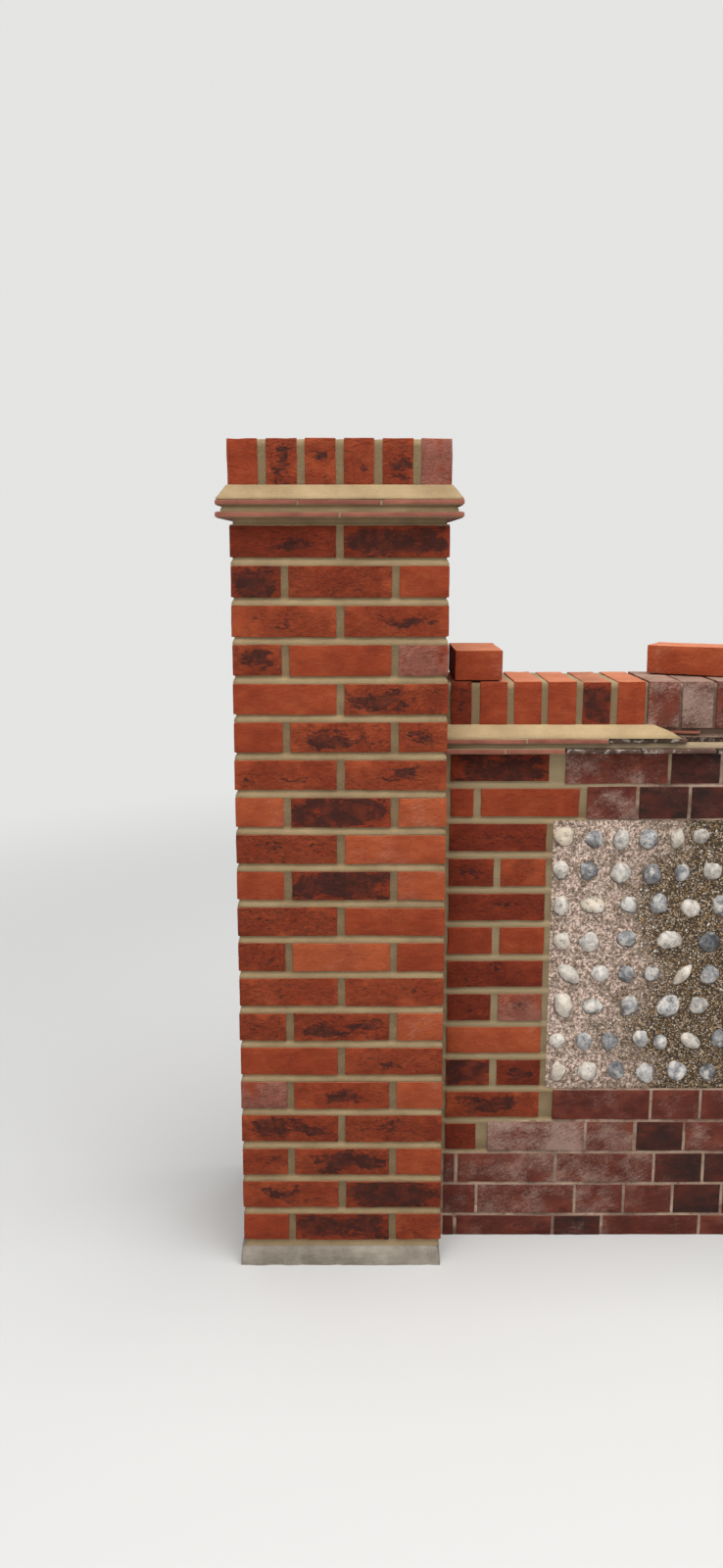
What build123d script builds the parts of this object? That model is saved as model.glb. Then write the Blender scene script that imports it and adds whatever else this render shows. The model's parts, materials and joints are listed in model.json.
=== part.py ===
"""Brick garden wall: a capped pier with two flint-panelled bays running off it.

Millimetres, +Z up.  The origin is the centre of the pier's foot at ground level.
+X runs along the wall, and -Y is the side that the wall is looked at from.
Courses are numbered from the top down, as the wall's faces are read.
"""
from build123d import *
import os

# Bricks of the rebuilt work and of the old wall
NEW_BRICK = (215.0, 102.5, 65.0)
OLD_BRICK = (222.0, 107.5, 72.5)
NEW_JOINT = 13.0
OLD_JOINT = 5.5
RAKE = 4.0

# Pier
PIER_SIDE = 440.0
PIER_GAUGE = 78.5
PIER_COURSES = 20
FOOTING_MARGIN = 8.0
FOOTING_HEIGHT = 43.0
FOOTING_BEVEL = 5.0

# Clay tiles of the creasing courses
TILE_LENGTH = 265.0
TILE_WIDTH = 165.0
TILE_THICKNESS = 11.0
TILE_GAP = 3.0
PIER_TILE_OVERHANG = 26.0
PIER_TILE_BED = 13.5
PIER_TILE_JOINT = 13.0
WALL_TILE_JOINT = 11.0
MORTAR_SETBACK = 12.0

# Brick-on-edge copings
COPING_HEIGHT = NEW_BRICK[1]
PIER_COPING_WIDTH = 444.0
PIER_COPING_BED = 16.0
PIER_COPING_BRICK = 63.0
PIER_COPING_BRICKS = 6
WALL_COPING_BED = 18.5
CUT_COPING_BRICK = 47.0
NEW_COPING_BRICK = 62.0
NEW_COPING_PITCH = 73.3
OLD_COPING_BRICK = 68.0
OLD_COPING_BRICKS = 41
FIRST_BAY_OLD_COPING_BRICKS = 18
FILLET_RISE = 28.0
FILLET_NOSE = 3.0
OLD_FILLET_RISE = 14.0

# Wall: a strip, a panel, a strip, a panel and a closing strip
WALL_THICKNESS = 215.0
WALL_GAUGE = 78.0
LOWEST_BED = 53.0
STRIP = 240.0
PANEL = 1350.0
BASE_BEDS = 4
PANEL_COURSES = 8
TOP_COURSES = 2

# Cobbles of the panels: width, height and how far one stands out of the mortar, and
# for each row from the top, the first one's place in the panel and their pitch
COBBLE = (48.0, 52.0, 16.5)
PANEL_RECESS = 5.0
COBBLE_ROWS = (
    (24.0, 60.0),
    (20.0, 66.5),
    (22.0, 71.0),
    (25.0, 82.0),
    (43.0, 63.5),
    (32.0, 76.0),
    (23.0, 60.0),
    (26.0, 67.5),
)
COBBLE_MARGIN = 2.0

# Where the rebuilt work stops and the old wall starts, course by course, from
# the pier: end of the rebuilt work, first whole old brick, bond of the old bricks
OLD_COURSES = {
    1: (247.0, 261.0, "SH"),
    2: (301.5, 310.0, "HHS"),
    11: (243.0, 256.0, "SHH"),
    12: (98.0, 110.0, "SHH"),
    13: (0.0, 43.0, "SSH"),
    14: (0.0, 91.0, "SHHH"),
    15: (0.0, 42.0, "SH"),
}
NEW_LOWER_TILES = 257.0
NEW_UPPER_TILES = 349.0
NEW_FILLET = 470.0
NEW_COPING = 431.0

# Loose bricks lying on the coping: from the pier, across the wall, turn in degrees
LOOSE_HEADER = (72.0, 0.0, 90.0)
LOOSE_STRETCHER = (580.0, 40.0, -28.0)

# Levels and places worked out from the sizes above
PIER_HALF = PIER_SIDE / 2
PIER_JOINT = PIER_GAUGE - NEW_BRICK[2]
SHAFT_TOP = FOOTING_HEIGHT + PIER_COURSES * PIER_GAUGE
FACE_Y = -WALL_THICKNESS / 2
BOTTOM_COURSE = BASE_BEDS + PANEL_COURSES + TOP_COURSES + 1
TOP_PANEL_COURSE = TOP_COURSES + 1
TOP_BASE_COURSE = TOP_COURSES + PANEL_COURSES + 1
WALL_START = PIER_HALF
PANEL_1 = WALL_START + STRIP
MIDDLE_STRIP = PANEL_1 + PANEL
PANEL_2 = MIDDLE_STRIP + STRIP
END_STRIP = PANEL_2 + PANEL
WALL_END = END_STRIP + STRIP - NEW_JOINT
BAY_SPLIT = MIDDLE_STRIP + STRIP / 2
WALL_OVERHANG = (TILE_LENGTH - WALL_THICKNESS) / 2
PANEL_BOTTOM = LOWEST_BED + BASE_BEDS * WALL_GAUGE
PANEL_TOP = PANEL_BOTTOM + PANEL_COURSES * WALL_GAUGE
BRICK_TOP = PANEL_TOP + TOP_COURSES * WALL_GAUGE - NEW_JOINT / 2

os.makedirs("parts", exist_ok=True)


def bed(course):
    """Height of the middle of the bed joint under a wall course."""
    if course == BOTTOM_COURSE:
        return 0.0
    return LOWEST_BED + (BOTTOM_COURSE - 1 - course) * WALL_GAUGE


def course_top(course):
    """Height at which a course's own strip of masonry ends."""
    if course == 1:
        return BRICK_TOP
    return bed(course - 1)


def brick_rows(course, joint):
    """Bottom and height of the bricks in a wall course."""
    bottom = bed(course) + (0 if course == BOTTOM_COURSE else joint / 2)
    top = course_top(course) - (0 if course == 1 else joint / 2)
    return bottom, top - bottom


def lay_old_course(course):
    """Left ends and lengths of the old bricks in a course, from end to end."""
    start, first, bond = OLD_COURSES[course]
    start += WALL_START
    first += WALL_START
    lengths = {"S": OLD_BRICK[0], "H": OLD_BRICK[1]}
    smallest = OLD_BRICK[1] / 2
    laid = []
    if first - start > smallest / 2 + 2 * OLD_JOINT:
        laid.append((start + 2 * OLD_JOINT, first - start - 3 * OLD_JOINT))
    x = first
    count = 0
    while WALL_END - x > lengths["S"] + smallest + OLD_JOINT:
        length = lengths[bond[count % len(bond)]]
        laid.append((x, length))
        x += length + OLD_JOINT
        count += 1
    if WALL_END - x > lengths["S"]:
        laid.append((x, lengths["H"]))
        x += lengths["H"] + OLD_JOINT
    laid.append((x, WALL_END - x))
    return laid


def split_course(course, bay):
    """The old bricks of one bay in a course, with the ends of its masonry."""
    laid = lay_old_course(course)
    left = [brick for brick in laid if brick[0] + brick[1] / 2 < BAY_SPLIT]
    right = laid[len(left):]
    middle = right[0][0] - OLD_JOINT / 2
    if bay == 0:
        return left, WALL_START + OLD_COURSES[course][0], middle
    return right, middle, WALL_END


def front_plane(y):
    """Plane of an upright face looking along -Y: its axes are X and Z."""
    return Plane(origin=(0, y, 0), x_dir=(1, 0, 0), z_dir=(0, -1, 0))


def joint_network(plane, areas, bricks):
    """The joints of a face: its areas less the faces of its bricks."""
    with BuildSketch(plane) as network:
        for left, bottom, width, height in areas:
            with Locations((left + width / 2, bottom + height / 2)):
                Rectangle(width, height)
        for left, bottom, width, height in bricks:
            with Locations((left + width / 2, bottom + height / 2)):
                Rectangle(width, height, mode=Mode.SUBTRACT)
    return network.sketch


def rake_both_faces(network, thickness):
    """Rake the joints of a wall's front, and the same joints on its back."""
    for shift in (0, thickness - RAKE):
        extrude(Pos(0, shift, 0) * network, amount=-RAKE, mode=Mode.SUBTRACT)


def wall_mass(areas, bricks):
    """Masonry as thick as the wall, with its joints raked on both faces."""
    with BuildSketch(front_plane(FACE_Y)) as outline:
        for left, bottom, width, height in areas:
            with Locations((left + width / 2, bottom + height / 2)):
                Rectangle(width, height)
    extrude(outline.sketch, amount=-WALL_THICKNESS)
    rake_both_faces(joint_network(front_plane(FACE_Y), areas, bricks), WALL_THICKNESS)


def old_masonry(courses, bay):
    """Old masonry of one bay, from its courses."""
    areas = []
    bricks = []
    for course in courses:
        laid, left, right = split_course(course, bay)
        bottom, height = brick_rows(course, OLD_JOINT)
        areas.append((left, bed(course), right - left, course_top(course) - bed(course)))
        bricks += [(x, bottom, length, height) for x, length in laid]
    wall_mass(areas, bricks)


def strip_masonry(start, end, brick, joint, courses):
    """A strip of brickwork beside a panel: stretchers and pairs of headers in turn."""
    left = (start + end - brick[0]) / 2 if end - start == STRIP else end - brick[0]
    header = (brick[0] - joint) / 2
    areas = []
    bricks = []
    for course in courses:
        bottom, height = brick_rows(course, joint)
        areas.append((start, bed(course), end - start, WALL_GAUGE))
        if course % 2:
            bricks.append((left, bottom, brick[0], height))
        else:
            bricks.append((left, bottom, header, height))
            bricks.append((left + header + joint, bottom, header, height))
    return areas, bricks


def tile_row(start, end, level, broken):
    """Creasing tiles laid across the wall; a broken one has lost its front nose."""
    count = round((end - start) / TILE_WIDTH)
    pitch = (end - start) / count
    for index in range(count):
        nose = 0 if index in broken else WALL_OVERHANG
        depth = WALL_THICKNESS + WALL_OVERHANG + nose
        centre = (start + (index + 0.5) * pitch, (WALL_OVERHANG - nose) / 2, level)
        with Locations(centre):
            Box(pitch - TILE_GAP, depth, TILE_THICKNESS, align=LOW)


def block(left, right, width, bottom, height):
    """A plain block between two places along the wall, centred across it."""
    with Locations(((left + right) / 2, 0, bottom)):
        Box(right - left, width, height, align=LOW)


def coping_on_edge(start, end, first, brick, pitch, bottom):
    """Bricks on edge across the wall, with the joints between them raked."""
    block(start, end, WALL_THICKNESS, bottom, COPING_HEIGHT)
    bricks = []
    if first - start > pitch / 2:
        bricks.append((start + NEW_JOINT, first - start - 2 * NEW_JOINT))
    x = first
    while x + brick < end + pitch / 4:
        bricks.append((x, brick))
        x += pitch
    area = [(start, bottom, end - start, COPING_HEIGHT)]
    faces = [(left, bottom, width, COPING_HEIGHT) for left, width in bricks]
    rake_both_faces(joint_network(front_plane(FACE_Y), area, faces), WALL_THICKNESS)
    top = Plane.XY.offset(bottom + COPING_HEIGHT)
    area = [(start, FACE_Y, end - start, WALL_THICKNESS)]
    faces = [(left, FACE_Y, width, WALL_THICKNESS) for left, width in bricks]
    extrude(joint_network(top, area, faces), amount=-RAKE, mode=Mode.SUBTRACT)


def mortar_fillet(start, end, bottom, rise, foot):
    """Bed under a coping, with a weathered slope up to the coping's face."""
    face = WALL_THICKNESS / 2
    with BuildSketch(Plane(origin=(start, 0, 0), x_dir=(0, 1, 0), z_dir=(1, 0, 0))) as section:
        with BuildLine():
            Polyline(
                (-foot, bottom),
                (foot, bottom),
                (foot, bottom + FILLET_NOSE),
                (face, bottom + rise),
                (face, bottom + WALL_COPING_BED),
                (-face, bottom + WALL_COPING_BED),
                (-face, bottom + rise),
                (-foot, bottom + FILLET_NOSE),
                close=True,
            )
        make_face()
    extrude(section.sketch, amount=end - start)


LOW = (Align.CENTER, Align.CENTER, Align.MIN)

# Footing: the rough bed that the pier stands on, flush where the wall joins it
with BuildPart() as pier_footing:
    with Locations((-FOOTING_MARGIN / 2, 0, 0)):
        Box(PIER_SIDE + FOOTING_MARGIN, PIER_SIDE + 2 * FOOTING_MARGIN, FOOTING_HEIGHT, align=LOW)
    rim = pier_footing.faces().sort_by(Axis.Z)[-1].edges().sort_by(Axis.X)[:-1]
    chamfer(rim, FOOTING_BEVEL)

# Shaft: courses of two stretchers, and of a stretcher between headers, in turn
with BuildPart() as pier_shaft:
    with Locations((0, 0, FOOTING_HEIGHT)):
        Box(PIER_SIDE, PIER_SIDE, SHAFT_TOP - FOOTING_HEIGHT, align=LOW)
    for face, turns in enumerate(((0, 180), (90, 270))):
        bricks = []
        for course in range(1, PIER_COURSES + 1):
            bottom = SHAFT_TOP - course * PIER_GAUGE + PIER_JOINT
            stretcher = (PIER_SIDE - NEW_JOINT) / 2
            if (course + face) % 2:
                ends = [(-PIER_HALF, stretcher), (NEW_JOINT / 2, stretcher)]
            else:
                header = NEW_BRICK[1]
                middle = PIER_SIDE - 2 * (header + NEW_JOINT)
                ends = [(-PIER_HALF, header), (-middle / 2, middle), (PIER_HALF - header, header)]
            bricks += [(left, bottom, width, NEW_BRICK[2]) for left, width in ends]
        area = [(-PIER_HALF, FOOTING_HEIGHT, PIER_SIDE, SHAFT_TOP - FOOTING_HEIGHT)]
        joints = joint_network(front_plane(-PIER_HALF), area, bricks)
        for turn in turns:
            extrude(Rot(0, 0, turn) * joints, amount=-RAKE, mode=Mode.SUBTRACT)

# Creasing of the pier: two courses of tiles that break joint, with mortar between
lower_tiles_z = SHAFT_TOP + PIER_TILE_BED
upper_tiles_z = lower_tiles_z + TILE_THICKNESS + PIER_TILE_JOINT
creasing_top = upper_tiles_z + TILE_THICKNESS
creasing_side = PIER_SIDE + 2 * PIER_TILE_OVERHANG
third = creasing_side / 3
half = creasing_side / 2

with BuildPart() as pier_tile_bed:
    with Locations((0, 0, SHAFT_TOP)):
        Box(PIER_SIDE - MORTAR_SETBACK, PIER_SIDE - MORTAR_SETBACK, PIER_TILE_BED, align=LOW)

with BuildPart() as pier_lower_tiles:
    with Locations((0, 0, lower_tiles_z)):
        with GridLocations(half, third, 2, 3):
            Box(half - TILE_GAP, third - TILE_GAP, TILE_THICKNESS, align=LOW)

with BuildPart() as pier_tile_joint:
    with Locations((0, 0, lower_tiles_z + TILE_THICKNESS)):
        Box(PIER_SIDE + MORTAR_SETBACK, PIER_SIDE + MORTAR_SETBACK, PIER_TILE_JOINT, align=LOW)

with BuildPart() as pier_upper_tiles:
    with Locations((0, 0, upper_tiles_z)):
        with GridLocations(third, half, 3, 2):
            Box(third - TILE_GAP, half - TILE_GAP, TILE_THICKNESS, align=LOW)

# Coping of the pier: two rows of six bricks on edge, in a sloping mortar fillet
pier_coping_z = creasing_top + PIER_COPING_BED
pitch = (PIER_COPING_WIDTH - PIER_COPING_BRICK) / (PIER_COPING_BRICKS - 1)
row_depth = (PIER_SIDE - NEW_JOINT) / 2

with BuildPart() as pier_coping:
    with Locations((0, 0, pier_coping_z)):
        Box(PIER_COPING_WIDTH, PIER_SIDE, COPING_HEIGHT, align=LOW)
    lefts = [-PIER_COPING_WIDTH / 2 + index * pitch for index in range(PIER_COPING_BRICKS)]
    area = [(-PIER_COPING_WIDTH / 2, pier_coping_z, PIER_COPING_WIDTH, COPING_HEIGHT)]
    faces = [(left, pier_coping_z, PIER_COPING_BRICK, COPING_HEIGHT) for left in lefts]
    rake_both_faces(joint_network(front_plane(-PIER_HALF), area, faces), PIER_SIDE)
    area = [(-PIER_COPING_WIDTH / 2, -PIER_HALF, PIER_COPING_WIDTH, PIER_SIDE)]
    faces = [(left, -PIER_HALF, PIER_COPING_BRICK, row_depth) for left in lefts]
    faces += [(left, PIER_HALF - row_depth, PIER_COPING_BRICK, row_depth) for left in lefts]
    top = Plane.XY.offset(pier_coping_z + COPING_HEIGHT)
    extrude(joint_network(top, area, faces), amount=-RAKE, mode=Mode.SUBTRACT)

with BuildPart() as pier_fillet:
    with BuildSketch(Plane.XY.offset(creasing_top)):
        Rectangle(creasing_side - 2 * FILLET_NOSE, creasing_side - 2 * FILLET_NOSE)
    with BuildSketch(Plane.XY.offset(creasing_top + FILLET_RISE)):
        Rectangle(PIER_COPING_WIDTH, PIER_SIDE)
    loft()
    with Locations((0, 0, pier_coping_z)):
        Box(PIER_COPING_WIDTH, PIER_SIDE, COPING_HEIGHT, align=LOW, mode=Mode.SUBTRACT)

# Rebuilt work beside the pier: the strip under the top courses, and the top courses
with BuildPart() as rebuilt_quoin:
    courses = range(TOP_PANEL_COURSE, TOP_BASE_COURSE + 1)
    areas, bricks = strip_masonry(WALL_START, PANEL_1, NEW_BRICK, NEW_JOINT, courses)
    lip = OLD_COURSES[TOP_BASE_COURSE][0] - STRIP
    areas.append((PANEL_1, bed(TOP_BASE_COURSE), lip, WALL_GAUGE))
    tooth = OLD_COURSES[TOP_BASE_COURSE + 1][0]
    bottom, height = brick_rows(TOP_BASE_COURSE + 1, NEW_JOINT)
    areas.append((WALL_START, bed(TOP_BASE_COURSE + 1), tooth, WALL_GAUGE))
    bricks.append((WALL_START + NEW_JOINT, bottom, tooth - 2 * NEW_JOINT, height))
    wall_mass(areas, bricks)

with BuildPart() as rebuilt_top_courses:
    areas = []
    for course in (1, 2):
        height = course_top(course) - bed(course)
        areas.append((WALL_START, bed(course), OLD_COURSES[course][0], height))
    first = WALL_START + NEW_JOINT
    bottom, height = brick_rows(1, NEW_JOINT)
    bricks = [(first, bottom, NEW_BRICK[0], height)]
    bottom, height = brick_rows(2, NEW_JOINT)
    closer = OLD_COURSES[2][0] - NEW_JOINT / 2 - NEW_BRICK[0] - 2 * NEW_JOINT
    bricks.append((first, bottom, closer, height))
    bricks.append((first + closer + NEW_JOINT, bottom, NEW_BRICK[0], height))
    wall_mass(areas, bricks)

# Old masonry: plain courses under and over the panels, toothed to the next bay
with BuildPart() as base_courses_1:
    old_masonry(range(TOP_BASE_COURSE, BOTTOM_COURSE + 1), 0)

with BuildPart() as base_courses_2:
    old_masonry(range(TOP_BASE_COURSE, BOTTOM_COURSE + 1), 1)

with BuildPart() as top_courses_1:
    old_masonry((1, 2), 0)

with BuildPart() as top_courses_2:
    old_masonry((1, 2), 1)

panel_courses = range(TOP_PANEL_COURSE, TOP_BASE_COURSE)

with BuildPart() as middle_quoin:
    wall_mass(*strip_masonry(MIDDLE_STRIP, PANEL_2, OLD_BRICK, OLD_JOINT, panel_courses))

with BuildPart() as end_quoin:
    wall_mass(*strip_masonry(END_STRIP, WALL_END, OLD_BRICK, OLD_JOINT, panel_courses))

# Creasing, fillet and coping of the wall
wall_lower_z = BRICK_TOP
wall_joint_z = wall_lower_z + TILE_THICKNESS
wall_upper_z = wall_joint_z + WALL_TILE_JOINT
wall_fillet_z = wall_upper_z + TILE_THICKNESS
wall_coping_z = wall_fillet_z + WALL_COPING_BED
mortar_width = WALL_THICKNESS + MORTAR_SETBACK
lower_end = WALL_START + NEW_LOWER_TILES
upper_end = WALL_START + NEW_UPPER_TILES
fillet_end = WALL_START + NEW_FILLET
coping_end = WALL_START + NEW_COPING

with BuildPart() as new_lower_tiles:
    tile_row(WALL_START, lower_end, wall_lower_z, ())

with BuildPart() as old_lower_tiles_1:
    tile_row(lower_end, BAY_SPLIT, wall_lower_z, (4,))

with BuildPart() as old_lower_tiles_2:
    tile_row(BAY_SPLIT, WALL_END, wall_lower_z, (3, 7))

with BuildPart() as new_tile_joint:
    block(WALL_START, lower_end, mortar_width, wall_joint_z, WALL_TILE_JOINT)

with BuildPart() as old_tile_joint_1:
    block(lower_end, BAY_SPLIT, mortar_width, wall_joint_z, WALL_TILE_JOINT)

with BuildPart() as old_tile_joint_2:
    block(BAY_SPLIT, WALL_END, mortar_width, wall_joint_z, WALL_TILE_JOINT)

with BuildPart() as new_upper_tiles:
    tile_row(WALL_START, upper_end, wall_upper_z, ())

with BuildPart() as old_upper_tiles_1:
    tile_row(upper_end, BAY_SPLIT, wall_upper_z, (1, 5))

with BuildPart() as old_upper_tiles_2:
    tile_row(BAY_SPLIT, WALL_END, wall_upper_z, (2, 6))

new_foot = WALL_THICKNESS / 2 + WALL_OVERHANG - FILLET_NOSE
old_foot = WALL_THICKNESS / 2 + MORTAR_SETBACK / 2

with BuildPart() as new_fillet:
    mortar_fillet(WALL_START, fillet_end, wall_fillet_z, FILLET_RISE, new_foot)

with BuildPart() as old_fillet_1:
    mortar_fillet(fillet_end, BAY_SPLIT, wall_fillet_z, OLD_FILLET_RISE, old_foot)

with BuildPart() as old_fillet_2:
    mortar_fillet(BAY_SPLIT, WALL_END, wall_fillet_z, OLD_FILLET_RISE, old_foot)

old_coping_pitch = (WALL_END - coping_end) / OLD_COPING_BRICKS
coping_split = coping_end + FIRST_BAY_OLD_COPING_BRICKS * old_coping_pitch
first_whole = WALL_START + CUT_COPING_BRICK + 2 * NEW_JOINT

with BuildPart() as new_coping:
    coping_on_edge(
        WALL_START, coping_end, first_whole, NEW_COPING_BRICK, NEW_COPING_PITCH, wall_coping_z
    )

old_first = (old_coping_pitch - OLD_COPING_BRICK) / 2

with BuildPart() as old_coping_1:
    coping_on_edge(
        coping_end, coping_split, coping_end + old_first, OLD_COPING_BRICK,
        old_coping_pitch, wall_coping_z,
    )

with BuildPart() as old_coping_2:
    coping_on_edge(
        coping_split, WALL_END, coping_split + old_first, OLD_COPING_BRICK,
        old_coping_pitch, wall_coping_z,
    )

# Flint panels: a face of mortar with cobbles on each side of both bays.  Every second
# cobble of a row is built, in quincunx, as a low faceted point
panel_height = PANEL_TOP - PANEL_BOTTOM
leaf = WALL_THICKNESS / 2 - PANEL_RECESS
base = Face.make_rect(COBBLE[0], COBBLE[1], front_plane(0))
stone = Solid.make_loft([base.outer_wire(), Vertex(0, -COBBLE[2], 0)], ruled=True)


def cobble_places(start):
    """Places of the built cobbles of a panel, along the wall and up it."""
    places = []
    for row, (first, pitch) in enumerate(COBBLE_ROWS):
        height = PANEL_TOP - (row + 0.5) * WALL_GAUGE
        reach = COBBLE[0] / 2 + COBBLE_MARGIN
        along = max(first, reach) if row % 2 == 0 else first + pitch
        while along < PANEL - reach:
            places.append((start + along, height))
            along += 2 * pitch
    return places


def panel_face(start, side):
    """One face of a panel, half the wall thick: side -1 is the front."""
    with Locations((start + PANEL / 2, side * leaf / 2, PANEL_BOTTOM)):
        Box(PANEL, leaf, panel_height, align=LOW)
    turn = 0 if side < 0 else 180
    with Locations([Location((x, side * leaf, z), (0, 0, turn)) for x, z in cobble_places(start)]):
        add(stone)


with BuildPart() as flint_front_1:
    panel_face(PANEL_1, -1)

with BuildPart() as flint_back_1:
    panel_face(PANEL_1, 1)

with BuildPart() as flint_front_2:
    panel_face(PANEL_2, -1)

with BuildPart() as flint_back_2:
    panel_face(PANEL_2, 1)

# Two loose bricks left lying on the coping
wall_top = wall_coping_z + COPING_HEIGHT


def loose_brick(place):
    """A whole brick lying on its bed, turned on the coping."""
    along, across, turn = place
    with Locations(Location((WALL_START + along, across, wall_top), (0, 0, turn))):
        Box(*NEW_BRICK, align=LOW)


with BuildPart() as loose_brick_left:
    loose_brick(LOOSE_HEADER)

with BuildPart() as loose_brick_right:
    loose_brick(LOOSE_STRETCHER)

pier_footing.part.label = "pier_footing"
export_step(pier_footing.part, "parts/pier_footing.step")
pier_shaft.part.label = "pier_shaft"
export_step(pier_shaft.part, "parts/pier_shaft.step")
pier_tile_bed.part.label = "pier_tile_bed"
export_step(pier_tile_bed.part, "parts/pier_tile_bed.step")
pier_lower_tiles.part.label = "pier_lower_tiles"
export_step(pier_lower_tiles.part, "parts/pier_lower_tiles.step")
pier_tile_joint.part.label = "pier_tile_joint"
export_step(pier_tile_joint.part, "parts/pier_tile_joint.step")
pier_upper_tiles.part.label = "pier_upper_tiles"
export_step(pier_upper_tiles.part, "parts/pier_upper_tiles.step")
pier_fillet.part.label = "pier_fillet"
export_step(pier_fillet.part, "parts/pier_fillet.step")
pier_coping.part.label = "pier_coping"
export_step(pier_coping.part, "parts/pier_coping.step")
rebuilt_quoin.part.label = "rebuilt_quoin"
export_step(rebuilt_quoin.part, "parts/rebuilt_quoin.step")
rebuilt_top_courses.part.label = "rebuilt_top_courses"
export_step(rebuilt_top_courses.part, "parts/rebuilt_top_courses.step")
base_courses_1.part.label = "base_courses_1"
export_step(base_courses_1.part, "parts/base_courses_1.step")
base_courses_2.part.label = "base_courses_2"
export_step(base_courses_2.part, "parts/base_courses_2.step")
top_courses_1.part.label = "top_courses_1"
export_step(top_courses_1.part, "parts/top_courses_1.step")
top_courses_2.part.label = "top_courses_2"
export_step(top_courses_2.part, "parts/top_courses_2.step")
middle_quoin.part.label = "middle_quoin"
export_step(middle_quoin.part, "parts/middle_quoin.step")
end_quoin.part.label = "end_quoin"
export_step(end_quoin.part, "parts/end_quoin.step")
new_lower_tiles.part.label = "new_lower_tiles"
export_step(new_lower_tiles.part, "parts/new_lower_tiles.step")
old_lower_tiles_1.part.label = "old_lower_tiles_1"
export_step(old_lower_tiles_1.part, "parts/old_lower_tiles_1.step")
old_lower_tiles_2.part.label = "old_lower_tiles_2"
export_step(old_lower_tiles_2.part, "parts/old_lower_tiles_2.step")
new_tile_joint.part.label = "new_tile_joint"
export_step(new_tile_joint.part, "parts/new_tile_joint.step")
old_tile_joint_1.part.label = "old_tile_joint_1"
export_step(old_tile_joint_1.part, "parts/old_tile_joint_1.step")
old_tile_joint_2.part.label = "old_tile_joint_2"
export_step(old_tile_joint_2.part, "parts/old_tile_joint_2.step")
new_upper_tiles.part.label = "new_upper_tiles"
export_step(new_upper_tiles.part, "parts/new_upper_tiles.step")
old_upper_tiles_1.part.label = "old_upper_tiles_1"
export_step(old_upper_tiles_1.part, "parts/old_upper_tiles_1.step")
old_upper_tiles_2.part.label = "old_upper_tiles_2"
export_step(old_upper_tiles_2.part, "parts/old_upper_tiles_2.step")
new_fillet.part.label = "new_fillet"
export_step(new_fillet.part, "parts/new_fillet.step")
old_fillet_1.part.label = "old_fillet_1"
export_step(old_fillet_1.part, "parts/old_fillet_1.step")
old_fillet_2.part.label = "old_fillet_2"
export_step(old_fillet_2.part, "parts/old_fillet_2.step")
new_coping.part.label = "new_coping"
export_step(new_coping.part, "parts/new_coping.step")
old_coping_1.part.label = "old_coping_1"
export_step(old_coping_1.part, "parts/old_coping_1.step")
old_coping_2.part.label = "old_coping_2"
export_step(old_coping_2.part, "parts/old_coping_2.step")
flint_front_1.part.label = "flint_front_1"
export_step(flint_front_1.part, "parts/flint_front_1.step")
flint_back_1.part.label = "flint_back_1"
export_step(flint_back_1.part, "parts/flint_back_1.step")
flint_front_2.part.label = "flint_front_2"
export_step(flint_front_2.part, "parts/flint_front_2.step")
flint_back_2.part.label = "flint_back_2"
export_step(flint_back_2.part, "parts/flint_back_2.step")
loose_brick_left.part.label = "loose_brick_left"
export_step(loose_brick_left.part, "parts/loose_brick_left.step")
loose_brick_right.part.label = "loose_brick_right"
export_step(loose_brick_right.part, "parts/loose_brick_right.step")
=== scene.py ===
"""Brick garden wall: a new capped pier, rebuilt work beside it, and two old bays.

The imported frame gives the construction.  This script lays every brick, tile, joint and
cobble over it, true to scale, in metres.  +X runs along the wall from the centre of the
pier, -Y is the side that the camera looks at, and courses are numbered from the top.
"""
import json
import logging
import math
from collections.abc import Callable
from dataclasses import dataclass, field
from enum import Enum, IntEnum
from functools import cache
from itertools import combinations

import bpy
import numpy as np
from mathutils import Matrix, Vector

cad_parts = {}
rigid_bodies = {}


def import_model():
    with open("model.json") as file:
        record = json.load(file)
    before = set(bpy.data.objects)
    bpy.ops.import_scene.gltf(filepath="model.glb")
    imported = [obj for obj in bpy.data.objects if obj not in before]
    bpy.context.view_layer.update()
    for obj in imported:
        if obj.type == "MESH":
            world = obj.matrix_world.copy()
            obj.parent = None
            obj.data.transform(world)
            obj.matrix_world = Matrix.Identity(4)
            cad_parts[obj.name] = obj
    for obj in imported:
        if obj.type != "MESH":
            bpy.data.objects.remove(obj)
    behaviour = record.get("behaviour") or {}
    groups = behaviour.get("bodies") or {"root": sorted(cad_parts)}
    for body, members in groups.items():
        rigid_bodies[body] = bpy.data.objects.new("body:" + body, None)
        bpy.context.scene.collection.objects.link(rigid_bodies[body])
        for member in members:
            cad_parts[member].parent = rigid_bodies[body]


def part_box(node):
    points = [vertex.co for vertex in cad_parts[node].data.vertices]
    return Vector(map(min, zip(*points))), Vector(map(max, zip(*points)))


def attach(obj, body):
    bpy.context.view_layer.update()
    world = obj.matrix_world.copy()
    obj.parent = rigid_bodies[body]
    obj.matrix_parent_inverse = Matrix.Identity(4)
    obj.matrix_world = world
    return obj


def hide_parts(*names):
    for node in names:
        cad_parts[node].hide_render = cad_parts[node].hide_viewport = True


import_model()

LOG = logging.getLogger("garden_wall")
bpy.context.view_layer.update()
BODY = "root"
Vector3 = tuple[float, float, float]
Span = tuple[float, float]
Row = tuple[float, float, float]


@dataclass(frozen=True)
class Burn:
    """How the kiln and the weather left one brick or stone.

    Each value runs from 0 to 1, apart from tone, which is 0 for the middle colour of the
    material, -1 for its darkest and 1 for its lightest, and dome, which keeps the bloom to
    a round patch at the foot of the brick.
    """

    tone: float = 0.0
    patch: float = 0.0
    fleck: float = 0.3
    bloom: float = 0.0
    mauve: float = 0.0
    dome: bool = False


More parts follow.
